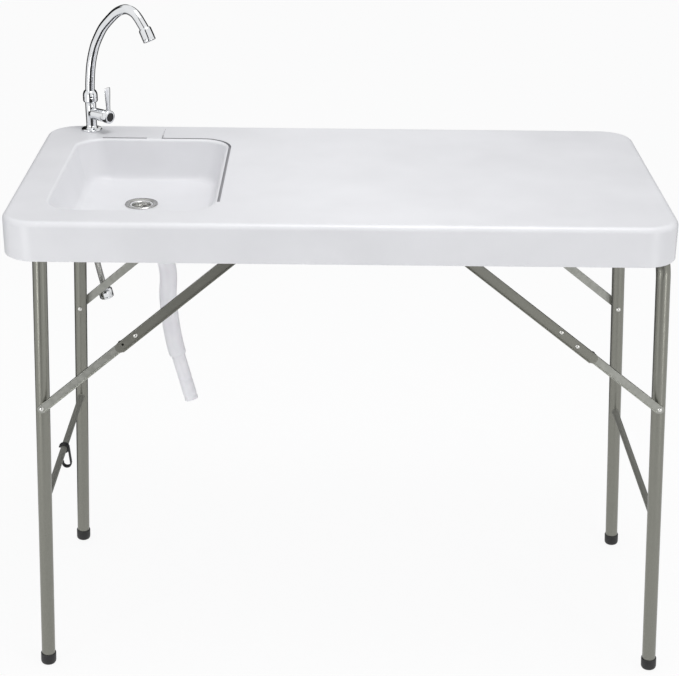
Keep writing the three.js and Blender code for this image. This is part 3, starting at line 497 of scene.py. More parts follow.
def dressed_copy(node, material, ease=SHEET_EASE, steps=2, punch=None):
    """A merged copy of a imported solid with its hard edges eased, and a hole if there is a punch."""
    active(frame["nodes"][node])
    bpy.ops.object.duplicate()
    piece = bpy.context.object
    for key in list(piece.keys()):
        del piece[key]
    piece.parent = None
    piece.matrix_world = Matrix.Identity(4)
    active(piece)
    edit_all()
    bpy.ops.mesh.remove_doubles(threshold=MERGED)
    bpy.ops.mesh.dissolve_limited(angle_limit=math.radians(0.6))
    bpy.ops.object.mode_set(mode="OBJECT")
    if punch:
        combine(piece, punch, "DIFFERENCE")
    apply_modifier(
        piece, "BEVEL", width=ease * MM, segments=steps, limit_method="ANGLE",
        angle_limit=math.radians(38),
    )
    finish(piece, node + "_finished", material, node)
    apply_modifier(piece, "WEIGHTED_NORMAL", keep_sharp=True)


print("finishing ready")

# %% [markdown]
# ## Blow-moulded polyethylene
# The top is blow-moulded high-density polyethylene, about 4 mm of waxy white
# plastic. It has a satin face with a very fine grain from the blasted mould,
# and it is a little uneven where the wall cooled at different speeds. The grain
# is about half a millimetre, too fine to see here, so it is drawn at 0.9 mm.
# The narrow channels beside the basin are greyed: painted shade for the shadow
# inside them. Their place is found by how far a point lies outside the basin and
# how high, each given as a middle and a reach to both sides of it.

# %% Moulded polyethylene
BASIN_MIDDLE = (-363 + SHIFT, -12.5)
BASIN_SIZE, BASIN_CORNER = (284, 419), 48
# Where the painted shade of the channels lies: distance outside the basin and height, in mm.
CHANNEL_SHADE_DISTANCE, CHANNEL_SHADE_HEIGHT = (67.5, 14.5), (909, 4.4)

moulded_polyethylene, tree, shader, place = new_material(
    "moulded_polyethylene", {"Roughness": 0.36, "IOR": 1.54}
)
here = {"Vector": place["Object"]}
clouds = add_node(tree, "TexNoise", {"Scale": 1 / (140 * MM), "Detail": 3.0}, here)
tint = add_node(tree, "ValToRGB", {"stops": [(0.3, "#e3e3e5"), (0.7, "#e9e9eb")]}, {"Fac": clouds})
grain = add_node(tree, "TexNoise", {"Scale": 1 / (0.9 * MM), "Detail": 2.0, "Roughness": 0.6}, here)
ripple = add_node(tree, "TexNoise", {"Scale": 1 / (46 * MM), "Detail": 1.0}, here)
fine = add_node(tree, "Bump", {"Strength": 0.16, "Distance": 0.12 * MM}, {"Height": grain})
uneven = add_node(
    tree, "Bump", {"Strength": 0.12, "Distance": 1.2 * MM}, {"Height": ripple, "Normal": fine}
)
shine = add_node(tree, "MapRange", {"To Min": 0.34, "To Max": 0.38}, {"Value": clouds})
from_basin = add_node(
    tree, "Mapping",
    {"Location": (-BASIN_MIDDLE[0] * MM, -BASIN_MIDDLE[1] * MM, 0.0), "Scale": (1, 1, 0)}, here,
)
one_quarter = add_node(tree, "VectorMath", {"operation": "ABSOLUTE"}, {0: from_basin})
straight_part = [(side / 2 - BASIN_CORNER) * MM for side in BASIN_SIZE]
beyond_sides = add_node(
    tree, "VectorMath", {"operation": "SUBTRACT", 1: (*straight_part, 0.0)}, {0: one_quarter}
)
outside = add_node(tree, "VectorMath", {"operation": "MAXIMUM"}, {0: beyond_sides})
distance = add_node(tree, "VectorMath", {"operation": "LENGTH"}, {0: outside}).outputs["Value"]
height = add_node(tree, "SeparateXYZ", {}, {0: place["Object"]}).outputs["Z"]
# Tests that find the channels for their painted shade: near their distance and their height.
channel_shade_tests = []
for measure, (middle, reach) in ((distance, CHANNEL_SHADE_DISTANCE), (height, CHANNEL_SHADE_HEIGHT)):
    within = {"operation": "COMPARE", 1: middle * MM, 2: reach * MM}
    channel_shade_tests.append(add_node(tree, "Math", within, {0: measure}))
in_channel = add_node(tree, "Math", {"operation": "MULTIPLY"}, {0: channel_shade_tests[0], 1: channel_shade_tests[1]})
# Painted shade: the channels' faces take a darker grey that stands for the shadow in them.
painted_channel_shade = add_node(tree, "Mix", {"data_type": "RGBA", 7: linear("#a3a3a6")}, {0: in_channel, 6: tint})
link(tree, shader, {"Base Color": painted_channel_shade.outputs[2], "Roughness": shine, "Normal": uneven})
print("made", moulded_polyethylene.name)

# %% [markdown]
# ## Mottled finishes
# Many finishes here follow one plan. Soft clouds vary the colour and the shine a
# little, as wear, dirt and uneven baths do, and a finer noise lifts the surface.
# One function builds this plan, and each finish gives its own real sizes.

# %% A mottled finish
def mottled(name, settings, size, detail, stops, shine=None, relief=None, relief_on="Object"):
    """A material whose colour, and roughness from one value to another, follow clouds of a size in mm.

    A relief gives its noise's scale along three axes, its detail, its strength and its depth in mm.
    """
    material, tree, shader, place = new_material(name, settings)
    clouds = add_node(
        tree, "TexNoise", {"Scale": 1 / (size * MM), "Detail": detail}, {"Vector": place["Object"]}
    )
    tint = add_node(tree, "ValToRGB", {"stops": stops}, {"Fac": clouds})
    link(tree, shader, {"Base Color": tint})
    if shine:
        dulled = add_node(tree, "MapRange", {"To Min": shine[0], "To Max": shine[1]}, {"Value": clouds})
        link(tree, shader, {"Roughness": dulled})
    if relief:
        scale, finer_detail, strength, depth = relief
        spread = add_node(tree, "Mapping", {"Scale": scale}, {"Vector": place[relief_on]})
        finer = add_node(tree, "TexNoise", {"Scale": 1.0, "Detail": finer_detail}, {"Vector": spread})
        bumps = add_node(
            tree, "Bump", {"Strength": strength, "Distance": depth * MM}, {"Height": finer}
        )
        link(tree, shader, {"Normal": bumps})
    print("made", material.name)
    return material


print("the plan is ready")

# %% [markdown]
# ## Powder-coated steel
# The legs and the upper braces are steel tube and sheet under a warm grey
# metallic powder coat: baked resin with fine aluminium flakes, so it shines like
# dull metal, with a soft orange-peel surface about 1.5 mm from hill to hill. The
# flakes are far smaller than a millimetre, so they are drawn at 0.8 mm, and they
# take the place of the clouds in the colour. The welded crossbars have a duller
# coat with fewer flakes.

# %% Powder coat
def coated_steel(name, metallic, shiniest, dullest):
    """A grey powder coat with its share of flakes and its range of roughness."""
    coat = mottled(
        name, {"Metallic": metallic, "Roughness": 0.33, "IOR": 1.5}, 60, 3.0,
        [(0.0, "#91918a"), (0.55, "#83837b"), (1.0, "#797972")], (shiniest, dullest),
        ([1 / (1.5 * MM)] * 3, 1.0, 0.2, 0.1),
    )
    tree = coat.node_tree
    place = tree.nodes["Texture Coordinate"].outputs
    flakes = add_node(tree, "TexVoronoi", {"Scale": 1 / (0.8 * MM)}, {"Vector": place["Object"]})
    link(tree, tree.nodes["Color Ramp"], {"Fac": flakes})
    return coat


powder_coat = coated_steel("grey_metallic_powder_coat", 0.8, 0.27, 0.38)
dull_powder_coat = coated_steel("grey_powder_coat_dull", 0.3, 0.5, 0.62)

# %% [markdown]
# ## Plated and stainless steel
# The lower braces are bare zinc plate, a little brighter than the coat, with
# fine rolling lines along the sheet. Rivets and pins are nickel plated, smooth
# and only a little tarnished. The strainer is brushed stainless. Its brushing is
# too fine to show, so it is drawn as soft rings about 7 mm apart round the drain.
# A wave texture makes 20 radians of its wave in one unit of its scale.

# %% Zinc and nickel plate
zinc_plate = mottled(
    "zinc_plated_sheet", {"Metallic": 1.0, "Roughness": 0.34}, 9, 4.0,
    [(0.3, "#9b9c96"), (0.7, "#a9aaa4")], (0.27, 0.42),
    ((1 / (14 * MM), 1 / (0.5 * MM), 1 / (0.5 * MM)), 2.0, 0.12, 0.06),
)
nickel_plate = mottled(
    "nickel_plated_steel", {"Metallic": 1.0, "Roughness": 0.16}, 3, 4.0,
    [(0.3, "#c9c9c5"), (0.7, "#dededa")], (0.1, 0.26),
)

# %% Brushed stainless steel
DRAIN = (-374 + SHIFT, 57.5)
RING_GAP = 6.9115
RADIANS = 20

brushed_stainless, tree, shader, place = new_material(
    "brushed_stainless", {"Metallic": 1.0, "Roughness": 0.24}
)
on_drain = add_node(
    tree, "Mapping", {"Location": (-DRAIN[0] * MM, -DRAIN[1] * MM, 0.0)}, {"Vector": place["Object"]}
)
rings = add_node(
    tree, "TexWave",
    {"wave_type": "RINGS", "rings_direction": "Z", "Distortion": 1.5, "Detail": 3.0,
     "Scale": 2 * math.pi / (RADIANS * RING_GAP * MM)},
    {"Vector": on_drain},
).outputs["Fac"]
tint = add_node(tree, "ValToRGB", {"stops": [(0.0, "#a6a6a4"), (1.0, "#bcbcb9")]}, {"Fac": rings})
brushing = add_node(tree, "Bump", {"Strength": 0.1, "Distance": 0.05 * MM}, {"Height": rings})
link(tree, shader, {"Base Color": tint, "Normal": brushing})
print("made", brushed_stainless.name)

# %% [markdown]
# ## Chrome plate
# The faucet is brass or zinc alloy under polished nickel and chrome. Chrome is a
# slightly blue, almost perfect mirror. Only a faint waviness from polishing and
# a trace of haze keep it from looking like a computer's mirror.

# %% Chrome plate
chrome_plate = mottled(
    "chrome_plate", {"Metallic": 1.0, "Roughness": 0.05}, 18, 3.0,
    [(0.3, "#dfe1e3"), (0.7, "#e8e9eb")], (0.03, 0.09), ([1 / (18 * MM)] * 3, 3.0, 0.08, 0.15),
)

# %% [markdown]
# ## Black polypropylene and rubber
# Foot caps, the storage clip and the lever's cap are black polypropylene with a
# finely spark-eroded face. The drain's gasket is nitrile rubber, duller and a
# little greyer, with a bloom on it.

# %% Black polypropylene and nitrile rubber
black_polypropylene = mottled(
    "black_polypropylene", {"Roughness": 0.48, "IOR": 1.49}, 12, 4.0,
    [(0.35, "#171718"), (0.75, "#242425")], (0.4, 0.58), ([1 / (0.7 * MM)] * 3, 2.0, 0.22, 0.08),
)
nitrile_rubber = mottled(
    "nitrile_rubber", {"Roughness": 0.8, "IOR": 1.52}, 5, 5.0,
    [(0.3, "#262626"), (0.8, "#343433")], relief=([1 / (5 * MM)] * 3, 5.0, 0.2, 0.1),
)

# %% [markdown]
# ## Vinyl hose
# The drain hose is soft white vinyl, extruded, about 1 mm thick. Light goes a
# little way into it, so its shadows are pale and slightly violet. The die leaves
# faint lines along it. Its map counts metres along the hose, so the lines run
# with it round each bend.

# %% Vinyl
DIE_LINES = 46.0

white_vinyl = mottled(
    "white_vinyl_hose",
    {"Roughness": 0.34, "IOR": 1.53, "Subsurface Weight": 0.35, "Subsurface Radius": (1.0, 0.9, 0.95),
     "Subsurface Scale": 3 * MM},
    30, 3.0, [(0.3, "#f3f2f6"), (0.7, "#f8f7fa")],
    relief=((DIE_LINES, 1 / (90 * MM), 1.0), 2.0, 0.15, 0.3), relief_on="UV",
)

# %% [markdown]
# ## Steel braid
# The supply hose is rubber in a sleeve of stainless wire. Flat bundles of wire
# go round it both ways and pass over and under each other. Two families of
# slanted waves on the hose's own map give the two sets of bundles, 12 each way,
# and their product says which one lies on top. One crossing is about 3 mm long.

# %% Braid
BUNDLES = 12
WAVE_LENGTH = 6.2

steel_braid, tree, shader, place = new_material(
    "stainless_wire_braid", {"Metallic": 1.0, "Roughness": 0.2}
)
in_waves = add_node(
    tree, "Mapping", {"Scale": (2 * math.pi * BUNDLES, 2 * math.pi / (WAVE_LENGTH * MM), 1)},
    {"Vector": place["UV"]},
)
apart = add_node(tree, "SeparateXYZ", {}, {0: in_waves}).outputs
heights = []
for way in ("ADD", "SUBTRACT"):
    slant = add_node(tree, "Math", {"operation": way}, {0: apart["X"], 1: apart["Y"]})
    heights.append(add_node(tree, "Math", {"operation": "SINE"}, {0: slant}))
bundle = add_node(tree, "Math", {"operation": "MULTIPLY"}, {0: heights[0], 1: heights[1]})
relief = add_node(tree, "Math", {"operation": "ABSOLUTE"}, {0: bundle})
tint = add_node(
    tree, "ValToRGB", {"stops": [(0.0, "#7c7c7a"), (0.35, "#b4b4b1"), (1.0, "#d8d8d4")]},
    {"Fac": relief},
)
woven = add_node(tree, "Bump", {"Strength": 0.5, "Distance": 0.4 * MM}, {"Height": relief})
link(tree, shader, {"Base Color": tint, "Normal": woven})
print("made", steel_braid.name)

# %% [markdown]
# ## Hoses first
# A hose has a fixed length and hangs as its weight lets it, so its route is
# settled before anything is dressed. The drain hose leaves the drain straight
# down, leans to the right behind the front wall of the top, hangs, and narrows
# into a stepped vinyl cuff. The supply hose hangs from the faucet's shank.

# %% Drain hose
DRAIN_START = Vector((*DRAIN, 801.7))
DRAIN_ROUTE = [
    (0, 0, 0), (0, 0, -12), (4.6, 0.2, -31), (15, 0.6, -48), (29, 0.8, -64),
    (40.5, 0.4, -82.5), (45.6, -0.5, -104.5), (46.4, -1.8, -122.6), (45.3, -3.5, -139.5),
    (44.7, -5.5, -156.3), (45.6, -7.7, -173.1), (47.3, -10, -189.9), (49.3, -12.6, -206.7),
    (51.8, -15.4, -223.3), (54.8, -18.2, -239.8), (58.4, -21, -256.3), (63.1, -23.7, -272.7),
]
HOSE_RADIUS = 16.5
END_ROUND, END_REACH = 3.3, 8
drain_line = smooth_line(metres([DRAIN_START + Vector(offset) for offset in DRAIN_ROUTE]))
drain_radii = []
for i in range(len(drain_line)):
    short_of_end = max(1 - line_length(drain_line[i:]) / MM / END_REACH, 0)
    drain_radii.append((HOSE_RADIUS - END_ROUND + END_ROUND * math.sqrt(1 - short_of_end ** 2)) * MM)
drain_hose = finish(sweep(drain_line, drain_radii, 48), "drain_hose_skin", white_vinyl, "drain_hose")

# %% Drain cuff
CUFF_START = (-331.727, 33.75, 528.715)
CUFF_AXIS = (0.27211, -0.15632, -0.94949)
drain_cuff = turned(
    [(10.5, 84), (10.5, 91), (11.2, 92), (12.6, 92), (13, 91), (13, 86), (12.5, 85), (12.5, 80),
     (13, 79), (13, 52), (12.6, 51), (12.6, 47), (13, 46), (13, 14), (12.9, 6), (13.1, 2),
     (13.3, -0.4)],
    CUFF_START, CUFF_AXIS, 72,
)
finish(drain_cuff, "drain_cuff_moulded", white_vinyl, "drain_cuff")

# %% Supply hose
SUPPLY_START = Vector((-491.3 + SHIFT, 260.5, 829.7))
SUPPLY_ROUTE = [
    (0, 0, 0), (0, 0, -12), (-0.5, 0.2, -28.9), (-1.5, 0.4, -45.8), (-2.7, 0.7, -62.7),
    (-4.1, 1.2, -79.5), (-5.5, 1.7, -96.4), (-6.6, 2.3, -113.2), (-7.4, 3.1, -130.1),
    (-7.6, 3.9, -147), (-7.2, 4.9, -163.9), (-6, 6, -180.7), (-3.9, 7.1, -197.4),
    (-1, 8.4, -214), (2.2, 9.8, -230.6), (5.6, 11.1, -247.1),
]
SUPPLY_RADIUS = 6.0
supply_line = smooth_line(metres([SUPPLY_START + Vector(offset) for offset in SUPPLY_ROUTE]))
supply_skin = sweep(supply_line, [SUPPLY_RADIUS * MM] * len(supply_line), 36)
supply_hose = finish(supply_skin, "supply_hose_braided", steel_braid, "supply_hose")

# %% Supply fittings
FAUCET = (-512.209, 260.5, 914)
CONNECTOR_START = Vector((-504.476, 272.416, 572.249))
CONNECTOR_AXIS = Vector((0.201222, 0.076938, -0.976519))
top_ferrule = turned(
    [(7.4, 830), (8, 830.8), (8, 833), (7.5, 833.6), (7.5, 834.4), (8, 835), (8, 838), (7.5, 838.6),
     (7.5, 839.4), (8, 840), (8, 848.8), (7.4, 849.7)],
    (*FAUCET[:2], 0),
)
finish(top_ferrule, "supply_top_ferrule_crimped", chrome_plate, "supply_top_ferrule")
end_ferrule = turned(
    [(7.2, 0.3), (8, 1), (8, 3), (7.5, 3.6), (7.5, 4.4), (8, 5), (8, 8.6), (7.6, 9.6), (7.1, 10),
     (7.1, 19), (6.6, 20)],
    CONNECTOR_START - CONNECTOR_AXIS * 10.6, CONNECTOR_AXIS,
)
finish(end_ferrule, "supply_end_ferrule_crimped", chrome_plate, "supply_end_ferrule")
connector = turned(
    [(11.4, 5), (11.4, 18.8), (12.2, 20), (13.6, 20), (14.8, 19), (14.8, 16.4), (14.3, 15.8),
     (14.3, 15.2), (14.8, 14.6), (14.8, 4.6), (14.2, 2.6), (12.4, 0.8), (9, 0.2)],
    CONNECTOR_START, CONNECTOR_AXIS, 12,
)
apply_modifier(connector, "BEVEL", width=0.5 * MM, segments=3, limit_method="ANGLE",
               angle_limit=math.radians(24))
finish(connector, "supply_connector_nut", chrome_plate, "supply_connector", 20)

# %% [markdown]
# ## The moulded top
# The real top is one hollow moulding. Here it is cut from a block: the upright
# corners and the upper edge are rounded first, a shallow tray is taken out of
# the underside, the basin's shell is added below, its hollow is cut, and last
# the channels beside the basin are pressed in. Every tool is a shaped piece too.

# %% Blocks with rounded edges
TOP_LOW = (-575 + SHIFT, -295, 844)
TOP_HIGH = (575 + SHIFT, 295, 914)
TOP_CORNER, RIM_WALL, TRAY_ROOF = 60, 4, 884


def rounded_block(low, high, corner, upper=0, lower=0):
    """A block whose upright, upper and lower edges are rounded."""
    deselect()
    middle = [(a + b) / 2 * MM for a, b in zip(low, high)]
    bpy.ops.mesh.primitive_cube_add(size=1, location=middle)
    piece = bpy.context.object
    piece.scale = [(b - a) * MM for a, b in zip(low, high)]
    settle(piece)
    pick(piece, "EDGE", lambda a, b: abs(a.x - b.x) < NEAR and abs(a.y - b.y) < NEAR)
    bpy.ops.mesh.bevel(offset=corner * MM, segments=14, affect="EDGES")
    for width, level in ((upper, high[2] * MM), (lower, low[2] * MM)):
        if width:
            pick(piece, "EDGE", lambda a, b: abs(a.z - level) < NEAR and abs(b.z - level) < NEAR)
            bpy.ops.mesh.bevel(offset=width * MM, segments=8, affect="EDGES")
    bpy.ops.object.mode_set(mode="OBJECT")
    return piece


top = rounded_block(TOP_LOW, TOP_HIGH, TOP_CORNER, 10, 2)
tray = rounded_block(
    (TOP_LOW[0] + RIM_WALL, TOP_LOW[1] + RIM_WALL, TOP_LOW[2] - 10),
    (TOP_HIGH[0] - RIM_WALL, TOP_HIGH[1] - RIM_WALL, TRAY_ROOF), TOP_CORNER - RIM_WALL, 3,
)
combine(top, tray, "DIFFERENCE")
print("block with its tray:", len(top.data.polygons), "faces")

# %% [markdown]
# The basin is a rounded rectangle drawn down in rings that shrink a little more
# near the floor. The last ring is bridged to the round seat of the drain.

# %% Basin
WALL = [(6.3, 0), (20, 0.08), (35.5, 0.24), (50, 0.37), (61.6, 0.48), (68, 0.55), (71.9, 0.62),
        (75, 0.71), (77, 0.8), (78.3, 0.9), (79, 1.0)]
LEAN_X, LEAN_Y = 27, 17
LIP, SHELL = 5.5, 3


def basin_form(rings, seat_radius, seat_height, throat):
    """A basin from rings of height and growth along X and Y, with a round seat and a throat below."""
    deselect()
    middle = (BASIN_MIDDLE[0] * MM, BASIN_MIDDLE[1] * MM)
    height, grow_x, grow_y = rings[0]
    size = [BASIN_SIZE[0] + 2 * grow_x, BASIN_SIZE[1] + 2 * grow_y]
    bpy.ops.mesh.primitive_plane_add(size=1, location=(*middle, height * MM))
    piece = bpy.context.object
    piece.scale = (size[0] * MM, size[1] * MM, 1)
    settle(piece)
    edit_all()
    bpy.ops.mesh.bevel(offset=(BASIN_CORNER + grow_x) * MM, segments=12, affect="VERTICES")
    bpy.ops.mesh.select_all(action="SELECT")
    for next_height, grow_x, grow_y in rings[1:]:
        wanted = [BASIN_SIZE[0] + 2 * grow_x, BASIN_SIZE[1] + 2 * grow_y]
        next_ring(height, next_height, wanted[0] / size[0], wanted[1] / size[1], middle)
        size, height = wanted, next_height
    bpy.ops.mesh.delete(type="ONLY_FACE")
    bpy.ops.object.mode_set(mode="OBJECT")
    neck, floor_level = throat
    seat = turned(
        [(neck, floor_level), (neck, seat_height - 1), (neck, seat_height), (seat_radius, seat_height)],
        (*DRAIN, 0), sides=56,
    )
    seat_middle = Vector((*DRAIN, seat_height)) * MM
    pick(seat, "FACE", lambda centre: (centre - seat_middle).length < MM)
    bpy.ops.mesh.delete(type="ONLY_FACE")
    active(piece)
    seat.select_set(True)
    bpy.ops.object.join()
    bpy.ops.object.mode_set(mode="EDIT")
    bpy.ops.mesh.select_mode(type="EDGE")
    bpy.ops.mesh.select_all(action="DESELECT")
    bpy.ops.mesh.select_non_manifold()
    bpy.ops.mesh.bridge_edge_loops()
    face_outwards()
    return piece


shell_rings = [(895, SHELL, SHELL)]
hollow_rings = [(917, LIP, LIP)]
for step in range(7):
    angle = step / 6 * math.pi / 2
    outset = LIP - LIP * math.sin(angle)
    hollow_rings.append((TOP_HIGH[2] - LIP + LIP * math.cos(angle), outset, outset))
for depth, share in WALL:
    hollow_rings.append((TOP_HIGH[2] - depth, -LEAN_X * share, -LEAN_Y * share))
    if depth > 30:
        level = TOP_HIGH[2] - SHELL - depth
        shell_rings.append((level, SHELL - LEAN_X * share, SHELL - LEAN_Y * share))
combine(top, basin_form(shell_rings, 34, 826, (26, 825)), "UNION")
combine(top, basin_form(hollow_rings, 31.6, 829, (22.3, 815)), "DIFFERENCE")
print("top with its basin:", len(top.data.polygons), "faces")

# %% [markdown]
# Narrow channels run beside the basin. A round bar along the channel's line is
# the tool. It is pressed in twice, the second time deeper, so the channel gets a
# round bottom and upright walls that keep the light out.

# %% Channels and underside ribs
CORNER_X, CORNER_Y, CORNER_RADIUS = -269, 149, 57
CORNER_STEPS = 12
HALF_WIDTH, WIDER_BEHIND = 2.5, 0.8
PRESSED_AT = (914.1, 911.6)
RIB_ENDS, RIB_HALF_WIDTH, RIB_FOOT = (-179 + SHIFT, 498 + SHIFT), 7, 880


def channel(points, share=1.0):
    """Presses a channel along a line on the worktop, a little wider behind the basin."""
    radii = []
    for _, y in points:
        behind = min(max((y - CORNER_Y) / CORNER_RADIUS, 0), 1)
        radii.append(share * (HALF_WIDTH + WIDER_BEHIND * behind) * MM)
    for level in PRESSED_AT:
        line = metres([(x + SHIFT, y, level) for x, y in points])
        combine(top, sweep(line, radii, 16), "DIFFERENCE")
    print("channel pressed:", len(top.data.polygons), "faces")


corner = []
for step in range(CORNER_STEPS + 1):
    angle = step * math.pi / (2 * CORNER_STEPS)
    corner.append(
        (CORNER_X + CORNER_RADIUS * math.cos(angle), CORNER_Y + CORNER_RADIUS * math.sin(angle))
    )
channel([(-463, 206), (-377, 206)])
channel([(-348, 206)] + corner[::-1] + [(-212, -176)])
channel([(-346.8, 207), (-347.6, 235), (-346.8, 268)], 0.4)
for rib_y in (-120, -40, 40, 120):
    low = (RIB_ENDS[0], rib_y - RIB_HALF_WIDTH, RIB_FOOT)
    high = (RIB_ENDS[1], rib_y + RIB_HALF_WIDTH, TRAY_ROOF + 2)
    combine(top, rounded_block(low, high, 6), "UNION")
finish(top, "moulded_top", moulded_polyethylene, "tabletop", 35)
apply_modifier(top, "WEIGHTED_NORMAL", keep_sharp=True)

# %% [markdown]
# ## Leg frames
# Each frame is one steel tube of 25.4 mm, bent twice on a former. The same is
# done here: a ring is drawn up the leg, spun a quarter turn about the former's
# centre, drawn across, spun again and drawn down. The frame is made upright and
# then leaned outwards about its hinge bar. The welded crossbar has a flared bead
# at both ends, and a black cap closes each foot.

# %% Tubes, crossbars and feet
TUBE = 12.7
LEG_Y = 234
BEND = 38
LEGS = {"left": (-536.609, 869.1, -571.309), "right": (536.391, 840.1, 581.591)}
CROSSBARS = {"left": (-557.5, 346), "right": (564.2, 323)}
ENDS = {"front": -1, "back": 1}


def bent_tube(length):
    """An upright frame from one tube, its hinge bar along Y through the origin."""
    deselect()
    bpy.ops.mesh.primitive_circle_add(
        vertices=48, radius=TUBE * MM, fill_type="NOTHING", location=(0, -LEG_Y * MM, -length * MM)
    )
    piece = bpy.context.object
    edit_all()
    straight = (length - BEND) * MM
    across = 2 * (LEG_Y - BEND) * MM
    for rise, run, centre_y in ((straight, 0, -LEG_Y + BEND), (0, across, LEG_Y - BEND)):
        bpy.ops.mesh.extrude_region_move(TRANSFORM_OT_translate={"value": (0, run, rise)})
        bpy.ops.mesh.spin(
            steps=12, angle=math.pi / 2, center=(0, centre_y * MM, -BEND * MM), axis=(1, 0, 0)
        )
    bpy.ops.mesh.extrude_region_move(TRANSFORM_OT_translate={"value": (0, 0, -straight)})
    bpy.ops.mesh.select_all(action="SELECT")
    bpy.ops.mesh.remove_doubles(threshold=MERGED)
    bpy.ops.mesh.fill_holes(sides=0)
    face_outwards()
    return settle(piece)


for side, (bar_x, bar_z, foot_x) in LEGS.items():
    lean = math.atan2(bar_x - foot_x, bar_z)
    length = math.hypot(bar_x - foot_x, bar_z)
    tube = bent_tube(length - 5)
    tube.rotation_euler = (0, lean, 0)
    tube.location = (bar_x * MM, 0, bar_z * MM)
    finish(tube, side + "_bent_tube", powder_coat, side + "_leg_frame")
    bar_place, bar_height = CROSSBARS[side]
    half = [(8.6, -222.4), (7.6, -221), (6.7, -219.4), (6.2, -217)]
    bar = turned(half + [(r, -y) for r, y in reversed(half)], (bar_place, 0, bar_height), (0, 1, 0), 36)
    finish(bar, side + "_crossbar_welded", dull_powder_coat, side + "_crossbar")
    up = Vector((bar_x - foot_x, 0, bar_z)).normalized()
    for end, sign in ENDS.items():
        foot = turned(
            [(8.5, 0.55), (11, 1.05), (12.9, 2.3), (14, 4.3), (14.45, 7), (14.45, 20.6), (14.2, 21.6),
             (14.45, 22.2), (14.2, 23.4), (13.4, 24), (12.9, 23.6), (12.8, 20)],
            (foot_x, sign * LEG_Y, 0), up,
        )
        node = f"{side}_foot_{end}"
        finish(foot, node + "_cap", black_polypropylene, node)

# %% [markdown]
# ## Braces, hinge straps and clip
# These are stamped from sheet, and their solids already have the right outline.
# Copies with eased edges catch the light as stamped edges do. The left braces
# also have a small round hole by their stop, punched with a round bar.

# %% Stamped pieces
STOP_HOLE = (-399.0, 0, 675.9)

for side in LEGS:
    for end, sign in ENDS.items():
        punch = None
        if side == "left":
            punch = turned([(2.3, 250.5), (2.3, 256)], STOP_HOLE, (0, sign, 0), 28)
        dressed_copy(f"{side}_{end}_upper_link", powder_coat, punch=punch)
        dressed_copy(f"{side}_{end}_lower_link", zinc_plate)
        dressed_copy(f"{side}_{end}_brace_bracket", powder_coat)
        dressed_copy(f"{side}_hinge_strap_{end}", powder_coat)
dressed_copy("leg_clip", black_polypropylene, 0.4)

# %% [markdown]
# The rivets are set with a cup-shaped punch, so each head is a low polished dome
# and shows as a white spot with a dark crescent. The leg's rivet goes through the
# tube, so it has a second head on the tube's inner side, which the photograph
# shows on the back legs. A small pin near the knuckle carries the brace's stop.

# %% Rivets
DOME = [(1.0, 0), (2.0, 0.12), (3.0, 0.5), (3.9, 1.15), (4.4, 1.9)]
SHAFT, HEAD = 3, 1.95


def rivet(name, x, z, start, end, sign, node=None, body=None):
    """A domed rivet along Y from start to end on one side of the table, in millimetres."""
    reach = end - start
    far = [(r, reach - h) for r, h in reversed(DOME)]
    profile = DOME + [(SHAFT, HEAD), (SHAFT, reach - HEAD)] + far
    piece = turned(profile, (x, sign * start, z), (0, sign, 0), 40)
    finish(piece, name, nickel_plate, node, 50, body)


for side in LEGS:
    for end, sign in ENDS.items():
        for kind in ("knuckle", "leg"):
            node = f"{side}_{end}_{kind}_rivet"
            low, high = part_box(node)
            x, z = (low.x + high.x) / 2 / MM, (low.z + high.z) / 2 / MM
            near, far = sorted((abs(low.y) / MM, abs(high.y) / MM))
            rivet(node + "_domed", x, z, near, far, sign, node)
        rivet(f"{side}_{end}_rivet_inner_head", x, z, 218.2, 222.4, sign, body=side + "_leg")

# %% Stop pins
for end, sign in ENDS.items():
    rivet(f"right_{end}_stop_pin", 366.3, 707, 251.6, 255.7, sign, body=f"right_{end}_upper")

# %% [markdown]
# ## Faucet
# The faucet is a stack of turned, chromed pieces: a flange, a body with a valve
# barrel at its side, a collar nut and a swan neck that swivels in it. The neck
# is a drawn tube, so it is a sweep along its arch. The lever starts as a flat
# oval ring that is drawn up, narrowed at its waist and widened to a round tip.

# %% Flange, body and collar
VALVE_TURN = math.radians(38)
valve_axis = Vector((math.cos(VALVE_TURN), -math.sin(VALVE_TURN), 0))
valve_start = Vector(FAUCET) + Vector((0, 0, 34.5))
flange = turned(
    [(20.3, 0.3), (20.5, 0.8), (20.5, 2.4), (20.2, 3.1), (19.5, 3.6), (18.4, 3.9), (13.2, 4.4),
     (12.1, 4.9), (11.5, 5.7), (11.3, 7)], FAUCET,
)
finish(flange, "faucet_flange_turned", chrome_plate, "faucet_flange")
body = turned(
    [(11.2, 7.3), (10.8, 8.6), (10.5, 11), (10.4, 14), (10.4, 24), (10.6, 30), (10.7, 35), (10.7, 55.2),
     (10.2, 56)], FAUCET,
)
barrel = turned(
    [(9, 0), (11.3, 4), (11.5, 12), (11.9, 36), (11.9, 37), (11.4, 37.4), (11.4, 38), (12, 38.4),
     (12, 42.4), (11.5, 43)],
    valve_start, valve_axis,
)
combine(body, barrel, "UNION")
finish(body, "faucet_body_cast", chrome_plate, "faucet_body")
collar = turned(
    [(11, 56.3), (12.6, 56.9), (13.8, 58), (14.4, 59.4), (14.5, 61), (14.5, 66.2), (14.1, 66.7),
     (14.1, 67.3), (14.5, 67.8), (14.4, 71.4), (14, 74), (13.2, 76.4), (12.3, 78.2), (11.4, 79.4),
     (10.6, 80)], FAUCET,
)
finish(collar, "faucet_collar_nut", chrome_plate, "faucet_collar")

